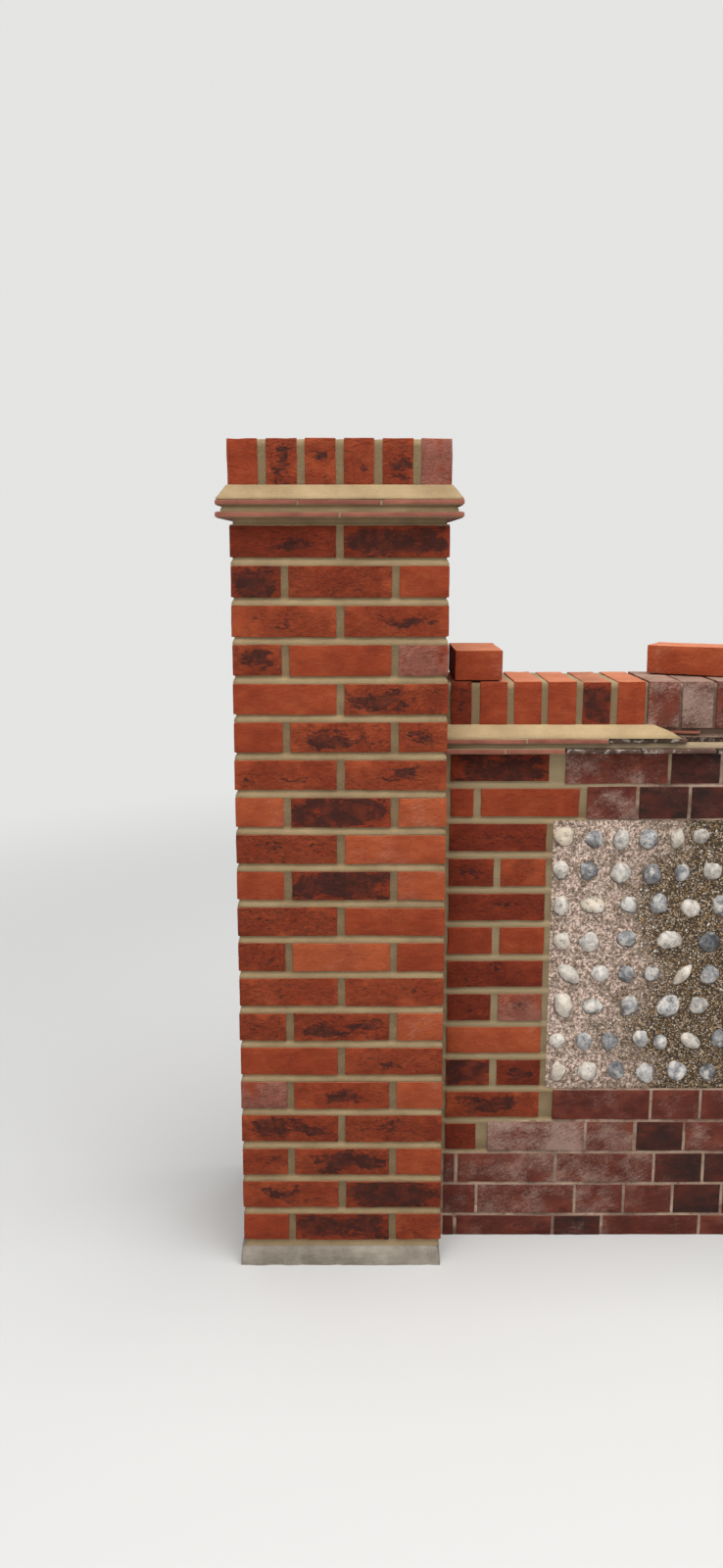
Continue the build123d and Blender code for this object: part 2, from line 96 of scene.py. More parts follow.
class Look(Enum):
    """The looks that the bricks are sorted into, by the letter used in the bonds below."""

    PLAIN = "P", Burn(tone=0.15, patch=0.05, fleck=0.3)
    LIGHT = "L", Burn(tone=0.85, fleck=0.2, bloom=0.12)
    FLECKED = "F", Burn(tone=0.40, patch=0.3, fleck=0.95)
    SPECKED = "S", Burn(tone=0.40, patch=0.38, fleck=0.7)
    DARK_PATCH = "D", Burn(tone=0.35, patch=0.62, fleck=0.85)
    BURNT = "B", Burn(tone=-0.3, patch=0.92, fleck=0.8)
    RED = "R", Burn(tone=-0.65, patch=0.4, fleck=0.9)
    MAUVE = "M", Burn(tone=-0.2, patch=0.2, fleck=0.6, bloom=0.4, mauve=0.9)
    WHITENED = "W", Burn(tone=1.2, fleck=0.3, bloom=0.42)
    MAROON = "r", Burn(tone=0.2, patch=0.15, fleck=0.6, bloom=0.25)
    VEILED = "v", Burn(tone=0.45, patch=0.1, fleck=0.6, bloom=0.62)
    SMEARED = "s", Burn(tone=0.4, patch=0.1, fleck=0.5, bloom=1.0)
    PALE = "g", Burn(tone=0.5, patch=0.12, fleck=0.8, bloom=1.0, mauve=0.55)
    BLACK = "k", Burn(tone=-0.95, patch=0.3, fleck=0.3, bloom=0.10)
    DOMED = "o", Burn(tone=0.1, patch=0.3, fleck=0.4, bloom=1.0, dome=True)

    def __init__(self, letter: str, burn: Burn) -> None:
        """Keep the letter and the kiln and weather values apart."""
        self.letter, self.burn = letter, burn


LOOKS = {look.letter: look.burn for look in Look}

# Looks of the bricks that show at the front, course by course from the top
PIER_FRONT = (
    "RB", "BFP", "SS", "DPM", "PD", "PDS", "SS", "LBW", "FL", "PBL",
    "FP", "FWP", "SS", "FDL", "PS", "MSL", "DF", "SDP", "SB", "PBS",
)
PIER_COPING_FRONT = "PDSSDM"
WALL_COPING_FRONT = "RPPPBP"
QUOIN_FRONT = {
    3: "R", 4: "RS", 5: "R", 6: "PP", 7: "R", 8: "RM", 9: "L", 10: "BR", 11: "D", 12: "R",
}
TOP_FRONT = {1: "B", 2: "PP"}
OLD_FRONT = {
    1: "vkk", 2: "okk", 11: "rrr", 12: "svkv", 13: "rvvkk", 14: "rvvrkk", 15: "rrkr",
}
NEW_MIX = "PPPFFSSSDDBRRLWM"
OLD_MIX = "rrrvvvgkkr"
OLD_COPING_MIX = "ggvgvgrgvk"


class Wander(IntEnum):
    """Seeds of the noise that each kind of surface wanders by."""

    BRICK = 1
    COBBLE = 3
    TILE_NOSE = 7
    SMEAR = 17
    JOINT = 31
    PIER_RING = 41
    PIER_FILLET = 51
    PIER_COPING = 61
    FOOTING = 71
    WALL_BEAM = 81
    SMEARED_END = 83
    WALL_COPING = 95


# Multipliers that scatter neighbouring numbers, by axis and by seed, and then stir them
AXIS_SCATTER = np.array((73856093, 19349663, 83492791))
SEED_SCATTER = 2654435761
STIRS = ((13, 1274126177), (16, 2246822519))


def lattice_noise(points: np.ndarray, seed: int) -> np.ndarray:
    """Smooth seeded noise.

    Args:
        points: Places to read it at, one row each, one unit per bump.
        seed: Which noise to read.

    Returns:
        A value from -1 to 1 for each point.
    """
    cell = np.floor(points).astype(np.int64)
    part = points - cell
    ease = part * part * (3.0 - 2.0 * part)
    total = np.zeros(len(points))
    for corner in np.ndindex(2, 2, 2):
        mixed = np.bitwise_xor.reduce((cell + corner) * AXIS_SCATTER, axis=1) ^ seed * SEED_SCATTER
        for shift, multiplier in STIRS:
            mixed = (mixed ^ (mixed >> shift)) * multiplier & 0xFFFFFFFF
        weight = np.prod(np.where(np.array(corner), ease, 1.0 - ease), axis=1)
        total += (mixed / 0x7FFFFFFF - 1.0) * weight
    return total


def ripple(
    points: np.ndarray, seed: int, coarse: Span, fine: Span, shift: np.ndarray | float = 0.0
) -> np.ndarray:
    """Two sizes of smooth noise, one on the other.

    Args:
        points: Places to read it at.
        seed: Which noise to read.
        coarse: Bumps to the metre of the larger one, and its height.
        fine: The same for the smaller one.
        shift: Where in the noise to start.

    Returns:
        A height for each point.
    """
    larger = lattice_noise(points * coarse[0] + shift, seed) * coarse[1]
    return larger + lattice_noise(points * fine[0] + shift, seed + 1) * fine[1]


def turned(first: np.ndarray, second: np.ndarray, angle: float) -> tuple[np.ndarray, np.ndarray]:
    """Two coordinates turned about the third axis."""
    cos, sin = math.cos(angle), math.sin(angle)
    return first * cos - second * sin, first * sin + second * cos


@dataclass
class Skin:
    """A mesh in the making: joined pieces of surface with the values their finish reads."""

    name: str
    points: list[np.ndarray] = field(default_factory=list)
    polygons: list[np.ndarray] = field(default_factory=list)
    local: list[np.ndarray] = field(default_factory=list)
    look: list[np.ndarray] = field(default_factory=list)
    veil: list[np.ndarray] = field(default_factory=list)
    count: int = 0

    def add(
        self,
        points: np.ndarray,
        polygons: np.ndarray,
        local: np.ndarray,
        burn: Burn,
        tone: np.ndarray | float | None = None,
        bloom: np.ndarray | float | None = None,
        centred: np.ndarray | float = 0.0,
    ) -> None:
        """Join one piece of surface.

        Args:
            points: Its corners.
            polygons: Corner numbers of its faces, all of one length.
            local: Where each corner lies in the piece's own pattern.
            burn: The look of the whole piece.
            tone: The tone of each corner, where it isn't the same all over.
            bloom: The bloom of each corner, where it isn't the same all over.
            centred: How near each corner is to the middle of a brick's face, from 0 to 1.
        """
        size = len(points)
        self.points.append(points)
        self.polygons.append(polygons + self.count)
        self.local.append(local)
        look = np.tile((burn.tone, burn.patch, burn.fleck), (size, 1))
        veil = np.tile((burn.bloom, burn.mauve, 0.0), (size, 1))
        look[:, 0] = burn.tone if tone is None else tone
        veil[:, 0] = burn.bloom if bloom is None else bloom
        veil[:, 2] = centred
        self.look.append(look)
        self.veil.append(veil)
        self.count += size

    def add_grid(
        self,
        rows: np.ndarray,
        closed: bool = False,
        tones: list[float] | None = None,
        fresh: np.ndarray | None = None,
        flipped: bool = False,
    ) -> None:
        """Join a sheet given as rows of points, which looks to the right of its columns' run.

        Args:
            rows: Points, as rows from the foot up, by columns, by three.
            closed: Whether its last column meets its first.
            tones: The tone of each row.
            fresh: How new the mortar is at each point.
            flipped: Whether it looks to the left instead.
        """
        count, width = rows.shape[:2]
        index = np.arange(count * width).reshape(count, width)
        if closed:
            index = np.concatenate((index, index[:, :1]), axis=1)
        quads = np.stack((index[:-1, :-1], index[:-1, 1:], index[1:, 1:], index[1:, :-1]), axis=-1)
        quads = quads.reshape(-1, 4)
        points = rows.reshape(-1, 3)
        if flipped:
            quads = quads[:, ::-1]
        tone = None if tones is None else np.repeat(tones, width)
        self.add(points, quads, points, Burn(), tone, fresh)

    def add_beam(
        self, rows: np.ndarray, tones: list[float], end_tone: float, fresh: np.ndarray | None = None
    ) -> None:
        """Join a section that runs along the wall, and close its ends.

        Args:
            rows: Points, as rows round the section from its front foot, by columns, by three.
            tones: The tone of each row.
            end_tone: The tone of its ends.
            fresh: How new the mortar is at each point.
        """
        self.add_grid(rows, tones=tones, fresh=fresh)
        for end, way in ((0, 1), (-1, -1)):
            ring = rows[:, end]
            self.add(ring, np.arange(len(ring))[None, ::way], ring, Burn(tone=end_tone))

    def build(self, material: bpy.types.Material) -> bpy.types.Object:
        """Make the Blender object.

        Args:
            material: The finish of the whole mesh.

        Returns:
            The new object, linked to the scene.
        """
        points = np.concatenate(self.points)
        faces = [tuple(face) for block in self.polygons for face in block.tolist()]
        mesh = bpy.data.meshes.new(self.name)
        mesh.from_pydata(points.tolist(), [], faces)
        for title, blocks in (("local", self.local), ("look", self.look), ("veil", self.veil)):
            layer = mesh.attributes.new(title, "FLOAT_VECTOR", "POINT")
            layer.data.foreach_set("vector", np.concatenate(blocks).astype(np.float32).ravel())
        mesh.polygons.foreach_set("use_smooth", [True] * len(mesh.polygons))
        mesh.materials.append(material)
        mesh.update()
        piece = bpy.data.objects.new(self.name, mesh)
        bpy.context.scene.collection.objects.link(piece)
        return piece

    def seat(self, coat: "Coat", node: str) -> None:
        """Build the mesh and seat it on the frame in place of a CAD node.

        Args:
            coat: What it is dressed in.
            node: The CAD node that it stands for.
        """
        piece = self.build(material_of(coat.finish))
        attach(piece, BODY)
        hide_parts(node)
        LOG.info("%s: %d faces", piece.name, len(piece.data.polygons))


class Side(Enum):
    """The sides of a brick, as axis number and direction."""

    LEFT = (0, -1)
    RIGHT = (0, 1)
    FRONT = (1, -1)
    BACK = (1, 1)
    BOTTOM = (2, -1)
    TOP = (2, 1)


@dataclass(frozen=True)
class Block:
    """A brick, tile or other squared piece with rounded, uneven arrises.

    Sides that aren't in the set are left open, where the piece runs on into the masonry.
    """

    low: Vector3
    high: Vector3
    sides: frozenset[Side]
    radius: float
    step: float
    wobble: float
    chips: int = 0
    chip_depth: float = 0.0014
    chip_reach: Span = (0.006, 0.016)
    lean: float = 0.004
    most_lean: float = 0.006

    def lines(self, axis: int) -> np.ndarray:
        """Places of the grid lines along one axis, close together at rounded ends.

        Args:
            axis: 0 for X, 1 for Y, 2 for Z.

        Returns:
            The places, in order.
        """
        low, high = self.low[axis], self.high[axis]
        start, end = low, high
        lines = []
        if any(side.value == (axis, -1) for side in self.sides):
            start = low + self.radius
            lines += [low, low + 0.3 * self.radius]
        if any(side.value == (axis, 1) for side in self.sides):
            end = high - self.radius
        middle = max(1, round((end - start) / self.step))
        lines += list(np.linspace(start, end, middle + 1))
        if end < high:
            lines += [high - 0.3 * self.radius, high]
        return np.array(lines)

    def shell(self) -> tuple[np.ndarray, np.ndarray]:
        """Lay a square grid over the built sides.

        Returns:
            Its points, and its quads, which look outward.
        """
        lines = [self.lines(axis) for axis in range(3)]
        index = np.zeros([len(line) for line in lines], dtype=np.int64)
        cuts = []
        for axis, way in (side.value for side in Side if side in self.sides):
            cut = [slice(None)] * 3
            cut[axis] = -1 if way > 0 else 0
            index[tuple(cut)] = 1
            cuts.append((tuple(cut), (way > 0) != (axis == 1)))
        used = np.argwhere(index)
        index[index > 0] = np.arange(len(used))
        quads = []
        for cut, outward in cuts:
            face = index[cut]
            quad = np.stack((face[:-1, :-1], face[1:, :-1], face[1:, 1:], face[:-1, 1:]), axis=-1)
            quad = quad.reshape(-1, 4)
            quads.append(quad if outward else quad[:, ::-1])
        return np.stack([lines[axis][used[:, axis]] for axis in range(3)], axis=1), np.concatenate(quads)

    def rounded(self, points: np.ndarray) -> tuple[np.ndarray, np.ndarray]:
        """Round the arrises.

        Args:
            points: Points of the square grid.

        Returns:
            The moved points, and the outward direction of each.
        """
        core = np.array((self.low, self.high), dtype=float)
        for axis, way in (side.value for side in self.sides):
            core[int(way > 0), axis] -= way * self.radius
        nearest = np.clip(points, *core)
        offset = points - nearest
        length = np.maximum(np.linalg.norm(offset, axis=1, keepdims=True), 1e-9)
        normal = offset / length
        return nearest + normal * np.minimum(length, self.radius), normal

    def surface(self, random: np.random.Generator) -> tuple[np.ndarray, ...]:
        """Build the piece's skin: uneven, chipped at its long arrises and a little out of true.

        Args:
            random: Where its unevenness comes from.

        Returns:
            Its points, its quads, the points' places in its own pattern, and their places
            between its ends, from -1 to 1.
        """
        square, quads = self.shell()
        points, normal = self.rounded(square)
        low, high = np.array(self.low), np.array(self.high)
        centre, extent = (low + high) / 2, high - low
        place = (points - centre) / (extent / 2)
        shift = random.uniform(-40.0, 40.0, 3)
        arris = np.clip((1.0 - np.abs(normal).max(axis=1)) * 4.0, 0.0, 1.0)
        bulge = np.clip(ripple(points, Wander.BRICK, (30.0, 1.0), (80.0, 0.7), shift), -0.8, 1.2)
        outward = (bulge * (0.35 + 0.65 * arris) - 1.0) * self.wobble
        for _ in range(self.chips):
            spot = centre + extent * random.choice((-0.5, 0.5), 3)
            spot[0] = random.uniform(self.low[0], self.high[0])
            reach = random.uniform(*self.chip_reach)
            near = np.exp(-np.sum((points - spot) ** 2, axis=1) / reach**2)
            outward -= near * random.uniform(0.3, 1.0) * self.chip_depth
        tilt = np.clip(random.normal(0.0, self.lean, 3), -self.most_lean, self.most_lean)
        tilt[0] *= 0.5
        local = points + normal * outward[:, None] - centre
        return centre + local + np.cross(tilt, local), quads, local + shift, place


ALL_SIDES = frozenset(Side)
LEAF_LEFT = ALL_SIDES - {Side.RIGHT}
LEAF_RIGHT = ALL_SIDES - {Side.LEFT}
LEAF_FRONT = ALL_SIDES - {Side.BACK}
LEAF_BACK = ALL_SIDES - {Side.FRONT}


@dataclass(frozen=True)
class Route:
    """A line on plan that a face of masonry follows, with its outward side."""

    corners: tuple[Span, ...]
    closed: bool = False
    step: float = 0.011

    def outset(self, reach: float) -> tuple[np.ndarray, np.ndarray]:
        """Points along the line, moved outward and mitred at its corners.

        Args:
            reach: How far it is moved.

        Returns:
            Places on plan, and the outward direction of each.
        """
        corners = [np.array(corner) for corner in self.corners]
        count = len(corners)
        runs = count if self.closed else count - 1
        along = [corners[(number + 1) % count] - corners[number] for number in range(runs)]
        lengths = [float(np.linalg.norm(run)) for run in along]
        normals = [np.array((run[1], -run[0])) / length for run, length in zip(along, lengths)]
        mitres = []
        for number in range(count):
            before = normals[number - 1] if number > 0 or self.closed else 0.0
            after = normals[number] if number < runs else 0.0
            mitres.append(before + after)
        moved = [corner + reach * mitre for corner, mitre in zip(corners, mitres)]
        places: list[np.ndarray] = []
        outward: list[np.ndarray] = []
        for number, length in enumerate(lengths):
            steps = max(1, round(length / self.step))
            start, end = moved[number], moved[(number + 1) % count]
            places += [start + (end - start) * part / steps for part in range(steps)]
            outward += [mitres[number]] + [normals[number]] * (steps - 1)
        if not self.closed:
            places.append(moved[-1])
            outward.append(mitres[-1])
        return np.array(places), np.array(outward)

    def cover(
        self, skin: Skin, profile: list[Row], unevenness: float, seed: int, smeared: bool = False
    ) -> None:
        """Sweep a profile along the line.

        Args:
            skin: Where the sheet goes.
            profile: Outset, height and tone of each row, from the foot up.
            unevenness: How far the surface wanders.
            seed: Which noise it wanders by.
            smeared: Whether new mortar is smeared over it near the rebuilt work.
        """
        rows = []
        for reach, height, _ in profile:
            places, outward = self.outset(reach)
            flat = np.column_stack((places, np.full(len(places), height)))
            wander = ripple(flat, seed, (26.0, 1.0), (90.0, 0.8))
            flat[:, :2] += outward * (wander * unevenness)[:, None]
            rows.append(flat)
        fresh = fresh_share(np.concatenate(rows)) if smeared else None
        skin.add_grid(np.array(rows), self.closed, [row[2] for row in profile], fresh)


# How far the new mortar was smeared along the wall, at some heights
SMEAR_HEIGHTS = (0.16, 0.22, 0.30, 1.0, 1.1)
SMEAR_REACHES = (0.20, 0.34, 0.50, 0.50, 0.78)


def fresh_share(points: np.ndarray) -> np.ndarray:
    """How far the new mortar was smeared over the old work, from 1 beside it to 0.

    Args:
        points: Places on the wall.

    Returns:
        A value for each point.
    """
    reach = np.interp(points[:, 2], SMEAR_HEIGHTS, SMEAR_REACHES)
    ragged = points[:, 0] + 0.05 * lattice_noise(points * 22.0, Wander.SMEAR)
    return np.clip((reach - ragged) / 0.10, 0.0, 1.0)


def operators(operation: str) -> tuple[Callable, Callable]:
    """An operator of the socket wrapper and its reflected form.

    Args:
        operation: What the Math node works out.

    Returns:
        The two methods.
    """

    def plain(self: "Value", other: "Value | float") -> "Value":
        """The value, then the other operand."""
        return self.math(operation, self, other)

    def reflected(self: "Value", other: float) -> "Value":
        """The other operand, then the value."""
        return self.math(operation, other, self)

    return plain, reflected


@dataclass
class Value:
    """A shader socket whose arithmetic adds Math nodes to its graph."""

    graph: "Graph"
    socket: bpy.types.NodeSocket | None

    def math(self, operation: str, *values: "Value | float", clamp: bool = False) -> "Value":
        """Add a Math node."""
        settings = {"operation": operation, "use_clamp": clamp}
        return self.graph.node("ShaderNodeMath", settings, dict(enumerate(values)))

    __add__, __radd__ = operators("ADD")
    __sub__, __rsub__ = operators("SUBTRACT")
    __mul__, __rmul__ = operators("MULTIPLY")
    __truediv__, __rtruediv__ = operators("DIVIDE")

    def clamp(self) -> "Value":
        """The value held between 0 and 1."""
        return self.math("ADD", self, 0.0, clamp=True)

    def near(self, place: float, width: float) -> "Value":
        """1 where the value is at a place, falling to 0 over a width."""
        return 1.0 - (self.math("ABSOLUTE", self - place) / width).clamp()

    def step(self, low: "Value | float", width: float) -> "Value":
        """A soft step from 0 at low to 1 at low plus width."""
        ramp = ((self - low) / width).clamp()
        return ramp * ramp * (3.0 - 2.0 * ramp)


@dataclass
class Graph:
    """The nodes of one material or world."""

    owner: bpy.types.Material | bpy.types.World

    def __post_init__(self) -> None:
        """Start with no nodes."""
        self.owner.use_nodes = True
        self.owner.node_tree.nodes.clear()

    @classmethod
    def of(cls, name: str) -> "Graph":
        """The graph of a new material."""
        return cls(bpy.data.materials.new(name))

    def node(
        self, kind: str, settings: dict | None = None, values: dict | None = None, output: int | str = 0
    ) -> Value:
        """Add any node.

        Args:
            kind: Blender's type name of the node.
            settings: Attributes to set first; a ramp's stops are pairs of place and colour.
            values: Socket values or links, by name or number.
            output: The output to hand back.

        Returns:
            The wrapped output socket, which is empty where the node has none.
        """
        made = self.owner.node_tree.nodes.new(kind)
        for key, setting in (settings or {}).items():
            if key == "stops":
                elements = made.color_ramp.elements
                while len(elements) < len(setting):
                    elements.new(0.5)
                for element, (place, colour) in zip(elements, setting):
                    element.position = place
                    element.color = (*colour, 1.0)
            else:
                setattr(made, key, setting)
        for key, value in (values or {}).items():
            if isinstance(value, Value):
                self.owner.node_tree.links.new(value.socket, made.inputs[key])
            elif isinstance(value, tuple) and len(value) == 3 and made.inputs[key].type == "RGBA":
                made.inputs[key].default_value = (*value, 1.0)
            else:
                made.inputs[key].default_value = value
        return Value(self, made.outputs[output] if made.outputs else None)

    def upward(self) -> Value:
        """How far the surface looks up, from -1 to 1."""
        return self.parts(self.node("ShaderNodeNewGeometry", output="Normal"))[2]

    def attribute(self, name: str) -> Value:
        """A vector that the mesh carries."""
        return self.node("ShaderNodeAttribute", {"attribute_name": name}, output="Vector")

    def parts(self, vector: Value) -> tuple[Value, Value, Value]:
        """The three numbers of a vector."""
        split = self.node("ShaderNodeSeparateXYZ", values={0: vector}).socket.node
        return tuple(Value(self, output) for output in split.outputs)

    def stretch(self, vector: Value, scale: Vector3) -> Value:
        """A vector with each axis scaled by its own amount."""
        return self.node("ShaderNodeVectorMath", {"operation": "MULTIPLY"}, {0: vector, 1: scale})

    def turn(self, vector: Value, angle: float) -> Value:
        """A vector turned about Y, which slants a pattern on the wall's face."""
        return self.node("ShaderNodeMapping", None, {"Vector": vector, "Rotation": (0.0, angle, 0.0)})

    def bend(self, vector: Value, scale: float, reach: float) -> Value:
        """Coordinates bent by noise.

        Args:
            vector: Coordinates.
            scale: Bends to the metre.
            reach: How far they move, in metres.

        Returns:
            The bent coordinates.
        """
        values = {"Vector": vector, "Scale": scale, "Detail": 2.0}
        colour = self.node("ShaderNodeTexNoise", None, values, "Color")
        settings = {"operation": "MULTIPLY_ADD"}
        return self.node("ShaderNodeVectorMath", settings, {0: colour, 1: (reach,) * 3, 2: vector})

    def noise(
        self, where: Value, scale: float, detail: float = 3.0, rough: float = 0.55, twist: float = 0.0
    ) -> Value:
        """Fractal noise about 0.5, with its bumps to the metre, octaves, roughness and distortion."""
        values = {"Vector": where, "Scale": scale, "Detail": detail, "Roughness": rough, "Distortion": twist}
        return self.node("ShaderNodeTexNoise", None, values)

    def cells(self, where: Value, scale: float, output: str = "Distance") -> Value:
        """A pattern of cells, such as grains of gravel, by how many there are to the metre."""
        return self.node("ShaderNodeTexVoronoi", None, {"Vector": where, "Scale": scale}, output)

    def mix(self, factor: "Value | float", first: "Value | Vector3", second: "Value | Vector3") -> Value:
        """A colour between two, by a factor that is 0 for the first and 1 for the second."""
        settings = {"data_type": "RGBA", "clamp_factor": True}
        return self.node("ShaderNodeMix", settings, {0: factor, 6: first, 7: second}, 2)

    def ramp(self, factor: Value, *stops: tuple[float, Vector3]) -> Value:
        """A colour ramp through the given stops."""
        return self.node("ShaderNodeValToRGB", {"stops": stops}, {0: factor})

    def bump(self, height: Value, distance: float, strength: float = 1.0) -> Value:
        """A surface normal from a height from 0 to 1, standing for distance metres."""
        values = {"Strength": strength, "Distance": distance, "Height": height}
        return self.node("ShaderNodeBump", None, values)

    def surface(
        self, colour: Value, rough: "Value | float", normal: Value, specular: float = 0.3
    ) -> bpy.types.Material:
        """Close the graph with a principled surface.

        Args:
            colour: Base colour.
            rough: Roughness.
            normal: Surface normal.
            specular: Specular level, the same all over.

        Returns:
            The finished material.
        """
        values = {"Base Color": colour, "Roughness": rough, "Normal": normal, "Specular IOR Level": specular}
        self.close(self.node("ShaderNodeBsdfPrincipled", None, values))
        return self.owner

    def close(self, shader: Value, kind: str = "ShaderNodeOutputMaterial") -> None:
        """Link a shader to an output node."""
        self.node(kind, None, {"Surface": shader})


@dataclass(frozen=True)
class BrickFinish:
    """Clay brick: a body colour that varies, kiln flecks and patches, bloom and creases."""

    name: str
    dark: Vector3
    middle: Vector3
    light: Vector3
    patch: Vector3
    bloom: Vector3
    mauve: Vector3
    dust_and_painted_top_light: Vector3
    bloom_reach: float
    lichen: float
    crease: float
    grain: float

    def material(self) -> bpy.types.Material:
        """Build the brick material.

        Returns:
            The material, which reads the mesh's local, look and veil values.
        """
        graph = Graph.of(self.name)
        local = graph.attribute("local")
        tone, patch, fleck = graph.parts(graph.attribute("look"))
        bloom, mauve, centred = graph.parts(graph.attribute("veil"))
        bent = graph.bend(local, 34.0, 0.022)
        drag = graph.stretch(bent, (1.0, 1.0, 2.5))

        # Body: drifts of colour, drawn out along the wire's cut
        drift = graph.noise(local, 12.0, 4.0, 0.6)
        cast = graph.noise(drag, 26.0, 3.0, 0.6)
        place = (0.5 + 0.36 * tone + (drift - 0.5) * 0.9 + (cast - 0.5) * 0.7).clamp()
        body = graph.ramp(place, (0.0, self.dark), (0.5, self.middle), (1.0, self.light))
        mauve_zone = mauve * graph.noise(local, 17.0, 3.0).step(0.30, 0.25)
        body = graph.mix(mauve_zone, body, self.mauve)

        # Kiln flecks, gathered in sooty zones
        stroke = graph.noise(drag, 78.0, 4.0, 0.60)
        nick = graph.noise(drag, 210.0, 3.0, 0.60)
        zone = (graph.noise(bent, 17.0, 2.0) + (centred - 0.5) * 0.16).step(0.50 - 0.20 * fleck, 0.18)
        sooty = zone * fleck
        body = graph.mix(sooty * 0.42, body, self.dark)
        flecks = (stroke.step(0.53, 0.12) * 0.55 + nick.step(0.54, 0.10) * 0.6).clamp() * sooty
        body = graph.mix(flecks * 0.72, body, self.patch)

        # Scorched patches with ragged edges
        cloud = graph.noise(drag, 13.0, 4.0, 0.6)
        ragged = cloud + (stroke - 0.5) * 0.42 + (centred - 0.55) * 0.36
        scorched = ragged.step(0.84 - 0.50 * patch, 0.10) * (patch * 6.0).clamp()
        flashed = scorched * (0.55 + 0.45 * graph.noise(bent, 40.0, 4.0, 0.65).step(0.36, 0.24))
        body = graph.mix(flashed * 0.94, body, self.patch)

        # Salts and mortar brushed over the face, lichen spots, and painted top light where it looks up
        slant = graph.stretch(graph.turn(local, 0.45), (0.40, 0.40, 1.7))
        brushed = graph.noise(slant, 150.0, 5.0, 0.72)
        haze = graph.noise(local, 14.0, 3.0)
        spots = graph.noise(local, 230.0, 3.0, 0.7)
        marks = brushed * (0.5 - self.lichen) + spots * self.lichen + haze * 0.5
        veil = marks.step(0.53 - self.bloom_reach * bloom, 0.20)
        body = graph.mix(veil * (bloom * 8.0).clamp() * (0.34 + 0.5 * bloom), body, self.bloom)
        # Painted top light: faces that look up are lightened in patches, standing for light from overhead
        painted_top_light = graph.upward().step(0.55, 0.35) * (0.05 + haze * 0.7 + spots * 0.5)
        body = graph.mix(painted_top_light, body, self.dust_and_painted_top_light)

        # Grit, and the folds and wrinkles of the cut clay
        grit = graph.noise(local, 480.0, 2.0, 0.6)
        body = graph.mix((grit - 0.5) * 0.8 + 0.16, body, self.dark)
        folds = graph.noise(drag, 44.0, 4.0, 0.62)
        wrinkle = folds.near(0.5, 0.09)
        relief = (folds - wrinkle * 0.36) * (0.40 + 0.62 * fleck) * self.crease
        normal = graph.bump(relief + grit * self.grain - flecks * 0.30 - scorched * 0.10, 0.0055)
        rough = 0.84 + 0.10 * grit - 0.12 * scorched
        return graph.surface(body, rough, normal, 0.18)


@dataclass(frozen=True)
class MortarFinish:
    """Sandy mortar, blotched by damp, and darker where its tone is low, which in recessed joints is painted
    shade.
    """

    name: str
    pale: Vector3
    damp_and_shade: Vector3
    sand: Vector3
    stain: Vector3
    stain_share: float
    rough_bump: float
    patchiness: float = 1.0
    fresh: Vector3 = (0.28, 0.212, 0.118)

    def material(self) -> bpy.types.Material:
        """Build the mortar material.

        Returns:
            The material.
        """
        graph = Graph.of(self.name)
        local = graph.attribute("local")
        tone, _, _ = graph.parts(graph.attribute("look"))
        bloom, _, _ = graph.parts(graph.attribute("veil"))
        blotch = graph.noise(local, 12.0, 5.0, 0.65)
        # Damp blotches, and the tone of each row; low tones darken recessed joints as painted shade
        body = graph.mix((blotch - 0.5) * self.patchiness + 0.17 + 0.36 * tone, self.damp_and_shade, self.pale)
        stain = graph.noise(local, 30.0, 4.0, 0.65).step(1.0 - self.stain_share, 0.14)
        body = graph.mix(stain * 0.8, body, self.stain)
        body = graph.mix(bloom * 0.85, body, self.fresh)
        grains = graph.noise(local, 620.0, 3.0, 0.75)
        body = graph.mix((grains - 0.5) * 1.1 + 0.08, body, self.sand)
        dust_and_painted_top_light = graph.noise(local, 330.0, 2.0, 0.6)
        body = graph.mix((dust_and_painted_top_light - 0.60) * 1.6, body, self.damp_and_shade)
        drag = graph.noise(graph.stretch(local, (0.6, 0.6, 2.2)), 80.0, 5.0, 0.68)
        height = drag * 0.7 + grains * 0.30
        return graph.surface(body, 0.93, graph.bump(height, self.rough_bump), 0.2)


@dataclass(frozen=True)
class TileFinish:
    """Plain clay tile, new or weathered."""

    name: str
    clay: Vector3
    dark: Vector3
    crust: Vector3
    crust_share: float

    def material(self) -> bpy.types.Material:
        """Build the tile material.

        Returns:
            The material.
        """
        graph = Graph.of(self.name)
        local = graph.attribute("local")
        drift = graph.noise(local, 14.0, 4.0, 0.6)
        body = graph.mix(drift.step(0.3, 0.4), self.dark, self.clay)
        crust = graph.noise(local, 38.0, 5.0, 0.7, 0.4).step(1.0 - self.crust_share, 0.12)
        body = graph.mix(crust * 0.8, body, self.crust)
        grit = graph.noise(local, 420.0, 2.0, 0.6)
        body = graph.mix((grit - 0.5) * 0.5 + 0.1, body, self.dark)
        layers = graph.noise(graph.stretch(local, (0.6, 0.6, 5.0)), 90.0, 4.0, 0.6)
        height = layers * 0.5 + crust * 0.3 + grit * 0.25
        return graph.surface(body, 0.88, graph.bump(height, 0.0024), 0.25)


